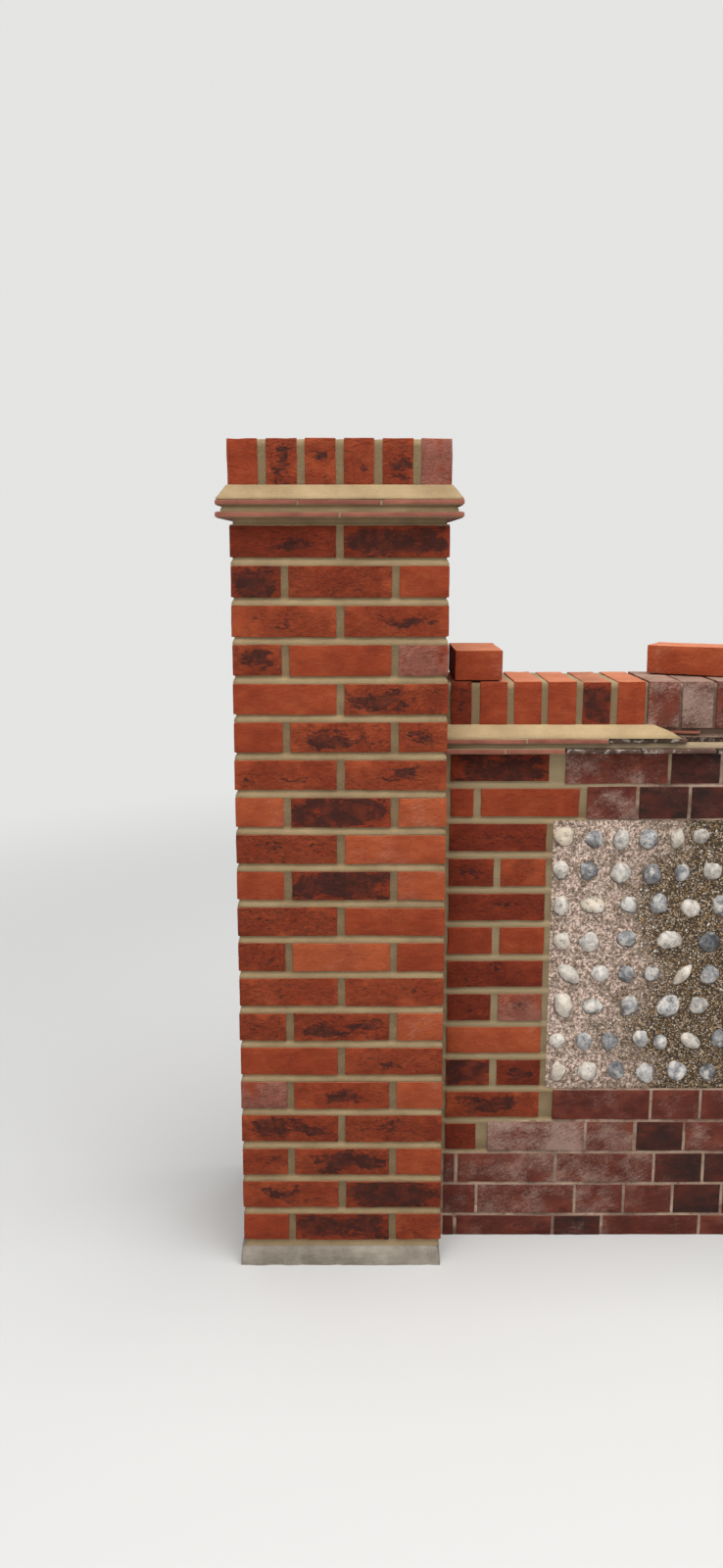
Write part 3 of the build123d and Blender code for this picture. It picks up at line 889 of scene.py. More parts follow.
@dataclass(frozen=True)
class GravelFinish:
    """Pebbly mortar of the panels: smeared pale at the rebuilt end, dark gravel beyond."""

    name: str
    smear_edge: float
    smear: Vector3 = (0.86, 0.66, 0.55)
    smear_damp: Vector3 = (0.26, 0.175, 0.138)
    earth_and_gap_shade: Vector3 = (0.034, 0.022, 0.013)
    brown: Vector3 = (0.130, 0.082, 0.040)
    golden: Vector3 = (0.43, 0.255, 0.100)
    grey: Vector3 = (0.26, 0.225, 0.185)
    chalk: Vector3 = (0.78, 0.70, 0.60)

    def material(self) -> bpy.types.Material:
        """Build the gravel material.

        Returns:
            The material.
        """
        graph = Graph.of(self.name)
        local = graph.attribute("local")
        along, _, height_up = graph.parts(local)
        bent = graph.bend(local, 160.0, 0.005)
        coarse, share, _ = graph.parts(graph.cells(bent, 165.0, "Color"))
        dome = 1.0 - graph.cells(bent, 165.0)
        fine, _, _ = graph.parts(graph.cells(bent, 330.0, "Color"))
        fine_dome = 1.0 - graph.cells(bent, 330.0)
        fines = graph.ramp(
            fine, (0.0, self.earth_and_gap_shade), (0.40, self.brown), (0.70, self.golden), (1.0, self.chalk)
        )
        # Painted shade: darker in the gaps between the grains
        fines = graph.mix(fine_dome.step(0.35, 0.35), self.earth_and_gap_shade, fines)
        stone = graph.ramp(
            coarse,
            (0.0, self.brown), (0.25, self.grey), (0.50, self.golden), (0.72, self.brown), (0.95, self.chalk),
        )
        pebble = dome.step(0.50, 0.14) * share.step(0.42, 0.1)
        gravel = graph.mix(pebble, fines, stone)

        drift = graph.noise(local, 7.0, 4.0, 0.65)
        edge = along - self.smear_edge + (drift - 0.5) * 0.36 - (height_up - 0.65) * 0.10
        smeared = 1.0 - edge.step(-0.06, 0.12)
        blotch = graph.noise(bent, 150.0, 4.0, 0.7)
        smear = graph.mix(blotch.step(0.42, 0.16), self.smear_damp, self.smear)
        film = graph.noise(bent, 84.0, 4.0, 0.65).step(0.42, 0.14)
        cover = smeared * (0.30 + 0.62 * film)
        body = graph.mix(cover, gravel, smear)
        height = pebble * dome * 0.6 + fine_dome * 0.35 + blotch * 0.3
        return graph.surface(body, 0.80, graph.bump(height, 0.0050), 0.35)


@dataclass(frozen=True)
class CobbleFinish:
    """Beach cobbles: white to blue-grey, mottled, with a chalky rind."""

    name: str
    slate: Vector3 = (0.040, 0.042, 0.047)
    blue: Vector3 = (0.222, 0.222, 0.226)
    pale: Vector3 = (0.47, 0.455, 0.44)
    chalk: Vector3 = (0.76, 0.70, 0.63)
    cream: Vector3 = (0.66, 0.53, 0.36)
    dirt_and_shade: Vector3 = (0.065, 0.046, 0.032)

    def material(self) -> bpy.types.Material:
        """Build the cobble material, whose veil value is how cream a stone is.

        Returns:
            The material.
        """
        graph = Graph.of(self.name)
        local = graph.attribute("local")
        tone, patch, _ = graph.parts(graph.attribute("look"))
        warm, _, proud = graph.parts(graph.attribute("veil"))
        cloud = graph.noise(local, 46.0, 6.0, 0.70, 0.6)
        place = (0.46 + 0.33 * tone + (cloud - 0.5) * 2.0).clamp()
        body = graph.ramp(place, (0.0, self.slate), (0.42, self.blue), (0.72, self.pale), (1.0, self.chalk))
        body = graph.mix(warm * 0.8, body, self.cream)
        rind = graph.noise(local, 22.0, 4.0, 0.6).step(0.54, 0.07) * (0.25 + 0.55 * patch)
        body = graph.mix(rind, body, self.chalk)
        marks = graph.noise(local, 95.0, 4.0, 0.7, 0.8).step(0.57, 0.06) * patch
        body = graph.mix(marks * 0.75, body, self.slate)
        pits = graph.noise(local, 260.0, 3.0, 0.7)
        # Darker where the stone sinks into the mortar, partly grime and partly painted shade, and on its
        # underside, painted shade
        lit = proud + (cloud - 0.5) * 0.9 + graph.upward() * 0.22
        grime_and_painted_shade = (1.0 - lit.step(0.0, 0.45)) * 0.88
        body = graph.mix(grime_and_painted_shade, body, self.dirt_and_shade)
        height = cloud * 0.6 + pits * 0.35 - marks * 0.2 + rind * 0.2
        rough = 0.50 + 0.3 * pits
        return graph.surface(body, rough, graph.bump(height, 0.0045), 0.35)


Finish = BrickFinish | MortarFinish | TileFinish | GravelFinish | CobbleFinish


@cache
def material_of(finish: Finish) -> bpy.types.Material:
    """The material of a finish, built when it is first used."""
    return finish.material()


@dataclass(frozen=True)
class Coat:
    """What a piece is dressed in: a finish, and the name of a slot in the record, which is not used."""

    slot: str
    finish: Finish

    def on(self, slot: str) -> "Coat":
        """The same finish for another slot."""
        return Coat(slot, self.finish)


NEW_BRICK = Coat("new_brick", BrickFinish(
    "wirecut_brick", dark=(0.140, 0.019, 0.008), middle=(0.278, 0.045, 0.015),
    light=(0.410, 0.092, 0.032), patch=(0.024, 0.010, 0.008), bloom=(0.52, 0.30, 0.22),
    mauve=(0.31, 0.13, 0.095), dust_and_painted_top_light=(0.62, 0.24, 0.12), bloom_reach=0.08, lichen=0.10,
    crease=0.66, grain=0.20,
))
OLD_BRICK = Coat("old_brick", BrickFinish(
    "weathered_brick", dark=(0.026, 0.013, 0.011), middle=(0.148, 0.030, 0.018),
    light=(0.258, 0.068, 0.040), patch=(0.022, 0.011, 0.010), bloom=(0.46, 0.31, 0.25),
    mauve=(0.18, 0.105, 0.072), dust_and_painted_top_light=(0.42, 0.27, 0.20), bloom_reach=0.12, lichen=0.24,
    crease=0.50, grain=0.34,
))
NEW_COPING_BRICK, OLD_COPING_BRICK = NEW_BRICK.on("new_coping_brick"), OLD_BRICK.on("old_coping_brick")
NEW_MORTAR = Coat("new_mortar", MortarFinish(
    "sandy_mortar", pale=(0.545, 0.398, 0.214), damp_and_shade=(0.172, 0.112, 0.056),
    sand=(0.50, 0.40, 0.25), stain=(0.22, 0.14, 0.08), stain_share=0.22, rough_bump=0.0026,
))
OLD_MORTAR = Coat("old_mortar", MortarFinish(
    "lime_mortar", pale=(0.63, 0.45, 0.33), damp_and_shade=(0.110, 0.060, 0.040), sand=(0.56, 0.45, 0.35),
    stain=(0.155, 0.045, 0.026), stain_share=0.46, rough_bump=0.0030, patchiness=2.6,
))
CONCRETE = Coat("new_mortar", MortarFinish(
    "rough_concrete", pale=(0.56, 0.50, 0.41), damp_and_shade=(0.22, 0.185, 0.145), sand=(0.54, 0.50, 0.43),
    stain=(0.15, 0.11, 0.08), stain_share=0.30, rough_bump=0.006, patchiness=2.0,
))
NEW_TILE = Coat("new_tile", TileFinish(
    "red_tile", clay=(0.310, 0.112, 0.072), dark=(0.185, 0.062, 0.042), crust=(0.38, 0.28, 0.19),
    crust_share=0.34,
))
OLD_TILE = Coat("old_tile", TileFinish(
    "weathered_tile", clay=(0.125, 0.062, 0.045), dark=(0.040, 0.026, 0.021), crust=(0.46, 0.41, 0.34),
    crust_share=0.51,
))
SMEARED_GRAVEL = Coat("flint", GravelFinish("pebble_mortar", smear_edge=0.66))
GRAVEL = Coat("flint", GravelFinish("plain_pebble_mortar", smear_edge=-1.0))
COBBLES = Coat("flint", CobbleFinish("beach_cobble"))


@dataclass(frozen=True)
class Brickwork:
    """Sizes and manner of one kind of brickwork.

    The beds and perpends are given by how far they lie behind the bricks' faces: a bed at its
    foot, its middle and its head.  The edge brick, mix and inset are those of its coping.
    """

    brick: Coat
    edge_brick: Coat
    mortar: Coat
    mix: str
    edge_mix: str

    stretcher: float
    header: float
    height: float
    joint: float
    arris: float
    wobble: float
    chips: int
    bed_foot: float
    bed_head: float
    perpend: float
    perpend_tone: float
    edge_inset: float
    unevenness: float = 0.0006
    bed_middle: float = 0.0036
    lip: float = 0.0008
    corner: float = 0.003
    leaf: float = 0.03
    step: float = 0.0165

    def block(self, low: Vector3, high: Vector3, sides: frozenset[Side]) -> Block:
        """A brick of this work between two corners, with the sides that are built."""
        return Block(low, high, sides, self.arris, self.step, self.wobble, self.chips)

    def profile(self, bed: float, brick: Span, top: float) -> list[Row]:
        """Section through the mortar of one course, from its bed's middle to the next one's.

        Args:
            bed: Height of the middle of the joint underneath.
            brick: Heights of the brick's bottom and top.
            top: Height of the middle of the joint above.

        Returns:
            Outsets, heights and tones of the rows.
        """
        bottom, head = brick
        tone = self.perpend_tone
        bed_tone = max(tone, 0.55)
        # Painted shade: the row at the bed's head, under the brick above, gets a low tone, and so do the
        # perpends where the work's perpend tone is low
        return [
            (-self.bed_middle, bed, bed_tone),
            (-self.bed_head, max(bed, bottom - self.lip), 0.1),
            (-self.perpend - 0.001, bottom + self.corner, tone),
            (-self.perpend, (bottom + head) / 2, tone),
            (-self.perpend - 0.0008, head - self.corner, tone),
            (-self.bed_foot, head + self.lip, bed_tone),
            (-self.bed_middle, max(top, head + 0.001), bed_tone),
        ]


# The new work's low perpend tone paints its recessed perpends darker: painted shade
NEW_WORK = Brickwork(
    NEW_BRICK, NEW_COPING_BRICK, NEW_MORTAR, NEW_MIX, NEW_MIX, stretcher=0.215, header=0.1025,
    height=0.065, joint=0.013, arris=0.0028, wobble=0.0012, chips=1, bed_foot=0.0024,
    bed_head=0.0072, perpend=0.0042, perpend_tone=-0.55, edge_inset=0.0045,
)
OLD_WORK = Brickwork(
    OLD_BRICK, OLD_COPING_BRICK, OLD_MORTAR, OLD_MIX, OLD_COPING_MIX, stretcher=0.222, header=0.1075,
    height=0.0725, joint=0.0055, arris=0.0016, wobble=0.0006, chips=2, bed_foot=0.0026,
    bed_head=0.0034, perpend=0.0032, perpend_tone=0.7, edge_inset=0.0065,
)


def looks_of(letters: str) -> list[Burn]:
    """The looks that a row of letters names."""
    return [LOOKS[letter] for letter in letters]


@dataclass
class Bricklayer:
    """Lays the bricks and the joints that stand for one CAD node."""

    node: str
    work: Brickwork
    random: np.random.Generator
    name: str = ""
    edge: bool = False
    slack: float = 0.0006
    dome_radius: float = 0.064
    dome_edge: float = 0.012
    edge_step: float = 0.011

    def __post_init__(self) -> None:
        """Start the two skins."""
        name = self.name or self.node
        self.bricks, self.joints = Skin(f"{name}_bricks"), Skin(f"{name}_joints")

    def any_look(self) -> Burn:
        """A look picked from the mix."""
        mix = self.work.edge_mix if self.edge else self.work.mix
        return LOOKS[mix[self.random.integers(len(mix))]]

    def lay(self, low: Vector3, high: Vector3, sides: frozenset[Side], burn: Burn | None = None) -> None:
        """Lay one brick.

        Args:
            low: Its lowest corner.
            high: Its highest corner.
            sides: The sides that are built.
            burn: Its look, or one from the mix.
        """
        burn = burn or self.any_look()
        slack = self.random.normal(0.0, self.slack, 6)
        low = tuple(np.add(low, np.abs(slack[:3])))
        high = tuple(np.subtract(high, np.abs(slack[3:])))
        points, quads, local, place = self.work.block(low, high, sides).surface(self.random)
        middle = np.clip(1.0 - place**2, 0.0, 1.0)
        centred = np.sqrt(np.sort(middle, axis=1)[:, 1] * middle.max(axis=1))
        bloom = burn.bloom
        if burn.dome:
            foot = np.hypot(points[:, 0] - (low[0] + high[0]) / 2, points[:, 2] - low[2])
            bloom = np.clip((self.dome_radius - foot) / self.dome_edge, 0.0, 0.95)
        self.bricks.add(points, quads, local, burn, bloom=bloom, centred=centred)

    def lay_on_edge(self, rows: list[Span], places: list[Span], front: str, slack: float = 0.0) -> None:
        """Lay bricks on edge, as high as the node.

        Args:
            rows: Near and far side of each row.
            places: Left end and width of each brick in a row.
            front: The looks of the first bricks at the front.
            slack: How far their tops may lie below the node's.
        """
        low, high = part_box(self.node)
        known = looks_of(front)
        for near, far in rows:
            for index, (left, width) in enumerate(places):
                burn = known[index] if index < len(known) else None
                lift = self.random.uniform(-slack, 0.0) if slack else 0.0
                self.lay((left, near, low[2]), (left + width, far, high[2] + lift), ALL_SIDES, burn)
            known = []

    def fill_on_edge(self, inset: float, ends: Span, seed: int) -> None:
        """Fill bricks on edge with mortar: a hood over its front, top and back.

        Args:
            inset: How far it lies behind the bricks' faces.
            ends: How far it lies inside the left and the right end of the node.
            seed: Which noise it wanders by.
        """
        low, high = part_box(self.node)
        count = max(2, round((high[0] - low[0]) / self.edge_step))
        columns = np.linspace(low[0] + ends[0], high[0] - ends[1], count)
        front, back, top = low[1] + inset, high[1] - inset, high[2] - inset
        section = [(front, z) for z in np.linspace(low[2], top, 8)]
        section += [(y, top) for y in np.linspace(front, back, round((back - front) / 0.013))[1:-1]]
        section += [(back, z) for z in np.linspace(top, low[2], 8)]
        rows = []
        for y, z in section:
            flat = np.column_stack((columns, np.full(count, y), np.full(count, z)))
            wander = ripple(flat, seed, (40.0, 0.0011), (110.0, 0.00066))
            away = np.array((0.0, (y == front) * -1.0 + (y == back) * 1.0, float(z == top)))
            rows.append(flat + wander[:, None] * away)
        # Painted shade: the joint's faces between the bricks, and its ends, get a lower tone than its top
        self.joints.add_beam(np.array(rows), [-0.7 if z < top else 0.2 for _, z in section], -0.5)

    def seat(self) -> None:
        """Seat the bricks and the joints on the frame."""
        self.bricks.seat(self.work.edge_brick if self.edge else self.work.brick, self.node)
        self.joints.seat(self.work.mortar, self.node)


@dataclass(frozen=True)
class Trowelled:
    """How a run of mortar was finished.

    Its unevenness, how far it stands out from its node, how far its head lies behind its foot,
    how far it has worn back, and how far its foot is smeared past its head at the right end
    are lengths.  Its tone is how pale it is, and its coat is the mortar.
    """

    unevenness: float = 0.0009
    tone: float = 1.1
    outset: float = 0.0
    slant: float = 0.001
    worn: float = 0.0
    tail: float = 0.0
    coat: Coat = NEW_MORTAR


PIER_POINTING = Trowelled(0.0003, tone=0.4, outset=-0.0034)
PIER_TILE_BED = Trowelled(tone=0.4, outset=-0.002)
PIER_TILE_JOINT = Trowelled(tone=1.3, outset=0.0075, slant=0.005)
WALL_POINTING = Trowelled(0.0003, outset=-0.0034)
NEW_TILE_JOINT = Trowelled(outset=0.0075)
OLD_TILE_JOINT = Trowelled(0.0018, outset=0.004, coat=OLD_MORTAR)
NEW_SLOPE = Trowelled(tone=1.05, tail=0.063)
# The old fillet's low tone is partly its dark old mortar and partly painted shade in its worn recess under
# the coping
OLD_SLOPE = Trowelled(0.0022, tone=-1.0, worn=0.012, coat=OLD_MORTAR)


@dataclass
class Pier:
    """The square pier, its footing, creasing courses and coping."""

    side: float = 0.440
    gauge: float = 0.0785
    courses: int = 20
    foot: float = 0.043
    coping_width: float = 0.444
    coping_brick: float = 0.063
    coping_count: int = 6
    joint_inset: float = 0.0042
    footing_inset: float = 0.002
    footing_unevenness: float = 0.0016
    footing_slope: tuple[Span, ...] = (
        (0.0, 0.0), (0.0, 0.012), (0.001, 0.026), (0.003, 0.036), (0.009, 0.0425), (0.05, 0.043),
    )
    seed: int = 11

    def __post_init__(self) -> None:
        """Work out the levels from the frame."""
        self.half = self.side / 2
        self.top = self.foot + self.courses * self.gauge
        self.random = np.random.default_rng(self.seed)

    def square(self, reach: float) -> Route:
        """A closed line round the pier, given half the side of the square."""
        corners = ((-reach, -reach), (reach, -reach), (reach, reach), (-reach, reach))
        return Route(corners, closed=True)

    def build(self) -> None:
        """Build every piece of the pier."""
        self.footing()
        self.shaft()
        self.creasing()
        self.fillet()
        self.coping()

    def footing(self) -> None:
        """The rough bed of concrete under the lowest course."""
        low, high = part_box("pier_footing")
        left, near = low[0] + self.footing_inset, low[1] + self.footing_inset
        right, far = high[0] - self.footing_inset, high[1] - self.footing_inset
        route = Route(((left, near), (right, near), (right, far), (left, far)), closed=True, step=0.009)
        skin = Skin("pier_footing_concrete")
        profile = [(-inset, height, 0.0) for inset, height in self.footing_slope]
        route.cover(skin, profile, self.footing_unevenness, Wander.FOOTING)
        skin.seat(CONCRETE, "pier_footing")

    def shaft(self) -> None:
        """Twenty courses of new bricks and their weather-struck joints."""
        work = NEW_WORK
        layer = Bricklayer("pier_shaft", work, self.random, "pier")
        route = self.square(self.half)
        joint = self.gauge - work.height
        for number in range(1, self.courses + 1):
            head = self.top - (number - 1) * self.gauge
            bottom = head - work.height
            self.lay_course(layer, (bottom, head), number % 2 == 1, looks_of(PIER_FRONT[number - 1]))
            lower = self.foot if number == self.courses else bottom - joint / 2
            upper = head if number == 1 else head + joint / 2
            profile = work.profile(lower, (bottom, head), upper)
            route.cover(layer.joints, profile, work.unevenness, Wander.JOINT)
        layer.seat()

    def lay_course(self, layer: Bricklayer, levels: Span, pair: bool, front: list[Burn]) -> None:
        """Lay one course round the pier.

        Args:
            layer: Who lays the bricks.
            levels: Heights of the bricks' undersides and tops.
            pair: Whether two stretchers show at the front, or one between headers.
            front: The looks at the front, from the left.
        """
        bottom, head = levels
        half, short, joint = self.half, layer.work.header, layer.work.joint
        long = (self.side - joint) / 2
        length, depth = (long, short) if pair else (short, long)
        for row, low_y in enumerate((-half, half - depth)):
            for column, low_x in enumerate((-half, half - length)):
                burn = front[column if pair else 2 * column] if row == 0 else None
                layer.lay((low_x, low_y, bottom), (low_x + length, low_y + depth, head), ALL_SIDES, burn)
        middle, inner = half - short - joint, half - layer.work.leaf
        if pair:
            layer.lay((-half, -middle, bottom), (-inner, middle, head), LEAF_LEFT)
            layer.lay((inner, -middle, bottom), (half, middle, head), LEAF_RIGHT)
        else:
            layer.lay((-middle, -half, bottom), (middle, -inner, head), LEAF_FRONT, front[1])
            layer.lay((-middle, inner, bottom), (middle, half, head), LEAF_BACK)

    def creasing(self) -> None:
        """Two courses of tiles that break joint, on beds of mortar."""
        for node, columns, rows in (("pier_lower_tiles", 2, 3), ("pier_upper_tiles", 3, 2)):
            TileCourse(node, columns, rows).lay(NEW_TILE, self.random)
            self.ring(node, f"{node}_pointing", PIER_POINTING)
        self.ring("pier_tile_bed", "pier_tile_bed_mortar", PIER_TILE_BED)
        self.ring("pier_tile_joint", "pier_tile_joint_mortar", PIER_TILE_JOINT)

    def ring(self, node: str, name: str, trowel: Trowelled) -> None:
        """A band of mortar round the pier, at the height of a node.

        Args:
            node: The CAD node that it belongs to.
            name: The piece's name.
            trowel: How it was finished.
        """
        low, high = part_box(node)
        height, outset, tone = high[2] - low[2], trowel.outset, trowel.tone
        skin = Skin(name)
        # The foot and head rows are darker: painted shade where the band meets the tiles
        profile = [
            (outset, low[2] - 0.0005, tone - 0.4),
            (outset + 0.0005, low[2] + 0.3 * height, tone),
            (outset - 0.5 * trowel.slant, low[2] + 0.7 * height, tone),
            (outset - trowel.slant, high[2] + 0.0005, tone - 0.6),
        ]
        self.square(high[0]).cover(skin, profile, trowel.unevenness, Wander.PIER_RING)
        skin.seat(trowel.coat, node)

    def fillet(self) -> None:
        """The trowelled slope from the upper tiles to the coping."""
        low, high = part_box("pier_fillet")
        reach = high[0]
        inset = reach - self.coping_width / 2
        rise = high[2] - low[2]
        skin = Skin("pier_fillet_mortar")
        # The foot and the row tucked under the coping are darker: painted shade in those creases
        profile = [
            (-0.0015, low[2], 0.2),
            (-0.001, low[2] + 0.0025, 0.7),
            (-0.30 * inset, low[2] + 0.30 * rise, 0.6),
            (-0.62 * inset, low[2] + 0.66 * rise, 0.6),
            (-0.90 * inset, low[2] + 0.93 * rise, 0.5),
            (-inset + 0.0004, high[2], 0.6),
            (-inset - 0.004, low[2] + 1.02 * rise, 0.3),
        ]
        self.square(reach).cover(skin, profile, Trowelled.unevenness, Wander.PIER_FILLET)
        skin.seat(NEW_MORTAR, "pier_fillet")

    def coping(self) -> None:
        """Two rows of six bricks on edge, with mortar between them."""
        low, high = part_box("pier_coping")
        width, depth = self.coping_brick, (self.side - NEW_WORK.joint) / 2
        pitch = (self.coping_width - width) / (self.coping_count - 1)
        rows = [(low[1], low[1] + depth), (high[1] - depth, high[1])]
        places = [(low[0] + column * pitch, width) for column in range(self.coping_count)]
        layer = Bricklayer("pier_coping", NEW_WORK, self.random, edge=True)
        layer.lay_on_edge(rows, places, PIER_COPING_FRONT)
        layer.fill_on_edge(self.joint_inset, (self.joint_inset,) * 2, Wander.PIER_COPING)
        layer.seat()


@dataclass(frozen=True)
class TileCourse:
    """A course of creasing tiles that stands for a CAD node.

    Losses are the tiles whose front nose is gone, by number from the left, and how much of it.
    Wear is how worn the other noses are.  Both run from 0 to 1.
    """

    node: str
    columns: int
    rows: int = 1
    losses: dict[int, float] = field(default_factory=dict)
    wear: float = 0.0
    gap: float = 0.003
    slack: float = 0.0009
    new_arris: float = 0.0018
    worn_arris: float = 0.003
    step: float = 0.012
    wobble: float = 0.0005
    nose: float = 0.027
    deepest: float = 0.030
    nose_reach: float = 0.06

    def lay(self, coat: Coat, random: np.random.Generator) -> None:
        """Lay the tiles and seat them.

        Args:
            coat: Their finish.
            random: Where their unevenness comes from.
        """
        skin = Skin(f"{self.node}_clay")
        low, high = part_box(self.node)
        pitch_x = (high[0] - low[0] + self.gap) / self.columns
        pitch_y = (high[1] - low[1] + self.gap) / self.rows
        arris = self.worn_arris if self.wear else self.new_arris
        for column, row in np.ndindex(self.columns, self.rows):
            left, front = low[0] + column * pitch_x, low[1] + row * pitch_y
            drop = random.uniform(0.0, self.slack)
            foot = (left, front, low[2] - drop + self.slack)
            head = (left + pitch_x - self.gap, front + pitch_y - self.gap, high[2] - drop)
            tile = Block(foot, head, ALL_SIDES, arris, self.step, self.wobble)
            points, quads, local, _ = tile.surface(random)
            if self.wear:
                loss = self.losses.get(column, self.wear * random.uniform(0.2, 1.0))
                self.break_nose(points, low[1], 1.0, loss)
                self.break_nose(points, high[1], -1.0, self.wear * random.uniform(0.2, 1.0))
            skin.add(points, quads, local, Burn(tone=random.uniform(-0.5, 0.5)))
        skin.seat(coat, self.node)

    def break_nose(self, points: np.ndarray, edge: float, way: float, loss: float) -> None:
        """Draw in one edge of a tile where it has broken off.

        Args:
            points: The tile's points, which are moved.
            edge: Where its edge was.
            way: The direction from the edge into the wall.
            loss: How much is gone, from 0 to 1.
        """
        where = np.column_stack((points[:, 0] * 45.0, points[:, 2] * 50.0, np.full(len(points), edge)))
        ragged = ripple(where, Wander.TILE_NOSE, (1.0, 0.5), (2.7, 0.35))
        broken = self.nose * (1.15 * loss + ragged * (0.25 + loss * (1.0 - loss)))
        near = np.clip(1.0 - (points[:, 1] - edge) * way / self.nose_reach, 0.0, 1.0)
        points[:, 1] += way * np.clip(broken, 0.0, self.deepest) * near


@dataclass
class WallPlan:
    """Sizes of the wall, and where each course's bricks lie."""

    thickness: float = 0.215
    gauge: float = 0.078
    lowest_bed: float = 0.053
    start: float = 0.220
    strip: float = 0.240
    panel: float = 1.350
    base_beds: int = 4
    panel_courses: int = 8
    top_courses: int = 2
    joint: float = 0.013
    lap: float = 0.006
    old_courses: dict[int, tuple[float, float, str]] = field(default_factory=lambda: {
        1: (0.247, 0.261, "SH"),
        2: (0.3015, 0.310, "HHS"),
        11: (0.243, 0.256, "SHH"),
        12: (0.098, 0.110, "SHH"),
        13: (0.0, 0.043, "SSH"),
        14: (0.0, 0.091, "SHHH"),
        15: (0.0, 0.042, "SH"),
    })

    def __post_init__(self) -> None:
        """Work out the places that follow from the sizes."""
        self.face = -self.thickness / 2
        self.bottom_course = self.base_beds + self.panel_courses + self.top_courses + 1
        self.first_panel = self.start + self.strip
        self.middle_strip = self.first_panel + self.panel
        self.second_panel = self.middle_strip + self.strip
        self.end_strip = self.second_panel + self.panel
        self.end = self.end_strip + self.strip - self.joint
        self.split = self.middle_strip + self.strip / 2
        self.brick_top = self.bed(0) - self.joint / 2

    def bed(self, course: int) -> float:
        """Height of the middle of the bed joint under a course; the lowest one stands on the ground."""
        beds = self.bottom_course - 1 - course
        return self.lowest_bed + beds * self.gauge if beds >= 0 else 0.0

    def rows(self, course: int, work: Brickwork) -> tuple[float, float, float, float]:
        """Levels of a course.

        Args:
            course: Its number from the top.
            work: The kind of brickwork.

        Returns:
            Bed, bottom of the bricks, top of the bricks, and the next bed.
        """
        bed = self.bed(course)
        above = self.brick_top if course == 1 else self.bed(course - 1)
        gap = self.joint if work is NEW_WORK else work.joint
        bottom = bed + (0.0 if course == self.bottom_course else gap / 2)
        top = above - (0.0 if course == 1 else gap / 2)
        return bed, bottom, top, above

    def old_bricks(self, course: int) -> list[Span]:
        """The old bricks of a course, from end to end of the wall.

        Args:
            course: Its number from the top.

        Returns:
            Left end and length of each brick.
        """
        start, first, bond = self.old_courses[course]
        start += self.start
        first += self.start
        joint = OLD_WORK.joint
        lengths = {"S": OLD_WORK.stretcher, "H": OLD_WORK.header}
        smallest = OLD_WORK.header / 2
        laid: list[Span] = []
        if first - start > smallest / 2 + 2 * joint:
            laid.append((start + 2 * joint, first - start - 3 * joint))
        x = first
        count = 0
        while self.end - x > lengths["S"] + smallest + joint:
            length = lengths[bond[count % len(bond)]]
            laid.append((x, length))
            x += length + joint
            count += 1
        if self.end - x > lengths["S"]:
            laid.append((x, lengths["H"]))
            x += lengths["H"] + joint
        laid.append((x, self.end - x))
        return laid

    def bay_bricks(self, course: int, bay: int) -> tuple[list[Span], float, float]:
        """The old bricks of one bay in a course.

        Args:
            course: Its number from the top.
            bay: 0 for the first bay, 1 for the second.

        Returns:
            The bricks, and the ends of the masonry that they lie in.
        """
        laid = self.old_bricks(course)
        left = [brick for brick in laid if brick[0] + brick[1] / 2 < self.split]
        right = laid[len(left):]
        middle = right[0][0] - OLD_WORK.joint / 2
        if bay == 0:
            toothed = self.old_courses[course][0] > 0.0
            return left, left[0][0] + self.lap / 2 if toothed else self.start, middle
        return right, middle, self.end

    def strip_bricks(self, course: int, left: float, work: Brickwork) -> list[Span]:
        """The bricks of a strip beside a panel: a stretcher, or two headers in even courses.

        Args:
            course: Its number from the top.
            left: The left end of its bricks.
            work: The kind of brickwork.

        Returns:
            Left end and length of each brick.
        """
        header = (work.stretcher - work.joint) / 2
        if course % 2 == 0:
            return [(left, header), (left + header + work.joint, header)]
        return [(left, work.stretcher)]

    def tooth(self, course: int) -> float:
        """Where the new mortar of a course ends, a little way behind its first old brick."""
        return self.start + self.old_courses[course][1] + self.lap

    def faces(self, left: float, right: float) -> list[Route]:
        """The lines of a stretch of wall: its front and back, round the end where it stops.

        Args:
            left: Its left end.
            right: Its right end.

        Returns:
            The lines, each with the wall on its inner side.
        """
        near, far = self.face, -self.face
        if right >= self.end - 1e-6:
            return [Route(((left, near), (right, near), (right, far), (left, far)))]
        return [Route(((left, near), (right, near))), Route(((right, far), (left, far)))]


@dataclass
class Masonry(Bricklayer):
    """Lays the courses of the wall."""

    plan: WallPlan = field(kw_only=True)

    def course(self, number: int, span: Span, bricks: list[Span], front: str = "") -> None:
        """Lay one course.

        Args:
            number: The course from the top.
            span: The ends of its masonry.
            bricks: Left end and length of each brick.
            front: The looks at the front, from the left, as far as they are known.
        """
        bed, bottom, top, above = self.plan.rows(number, self.work)
        known = looks_of(front)
        for index, (x, length) in enumerate(bricks):
            burn = known[index] if index < len(known) else self.any_look()
            last = x + length >= self.plan.end - 1e-6
            self.brick(x, length, bottom, top, burn, last)
        profile = self.work.profile(bed, (bottom, top), above)
        for route in self.plan.faces(*span):
            route.cover(self.joints, profile, self.work.unevenness, Wander.JOINT, smeared=True)

    def brick(self, x: float, length: float, bottom: float, top: float, burn: Burn, last: bool) -> None:
        """Lay one place in a course: a header through the wall, or a stretcher on each face.

        Args:
            x: Its left end.
            length: Its length along the wall.
            bottom: Height of its underside.
            top: Height of its top.
            burn: Its look at the front.
            last: Whether its right end shows at the end of the wall.
        """
        near, far = self.plan.face, -self.plan.face
        through = length < 0.75 * self.work.stretcher
        back_burn = burn if through else None
        if last and through:
            self.lay((x, near, bottom), (x + length, far, top), ALL_SIDES, burn)
            return
        depth = (far - near - self.work.joint) / 2 if last else self.work.leaf
        self.lay((x, near, bottom), (x + length, near + depth, top), LEAF_FRONT, burn)
        self.lay((x, far - depth, bottom), (x + length, far, top), LEAF_BACK, back_burn)


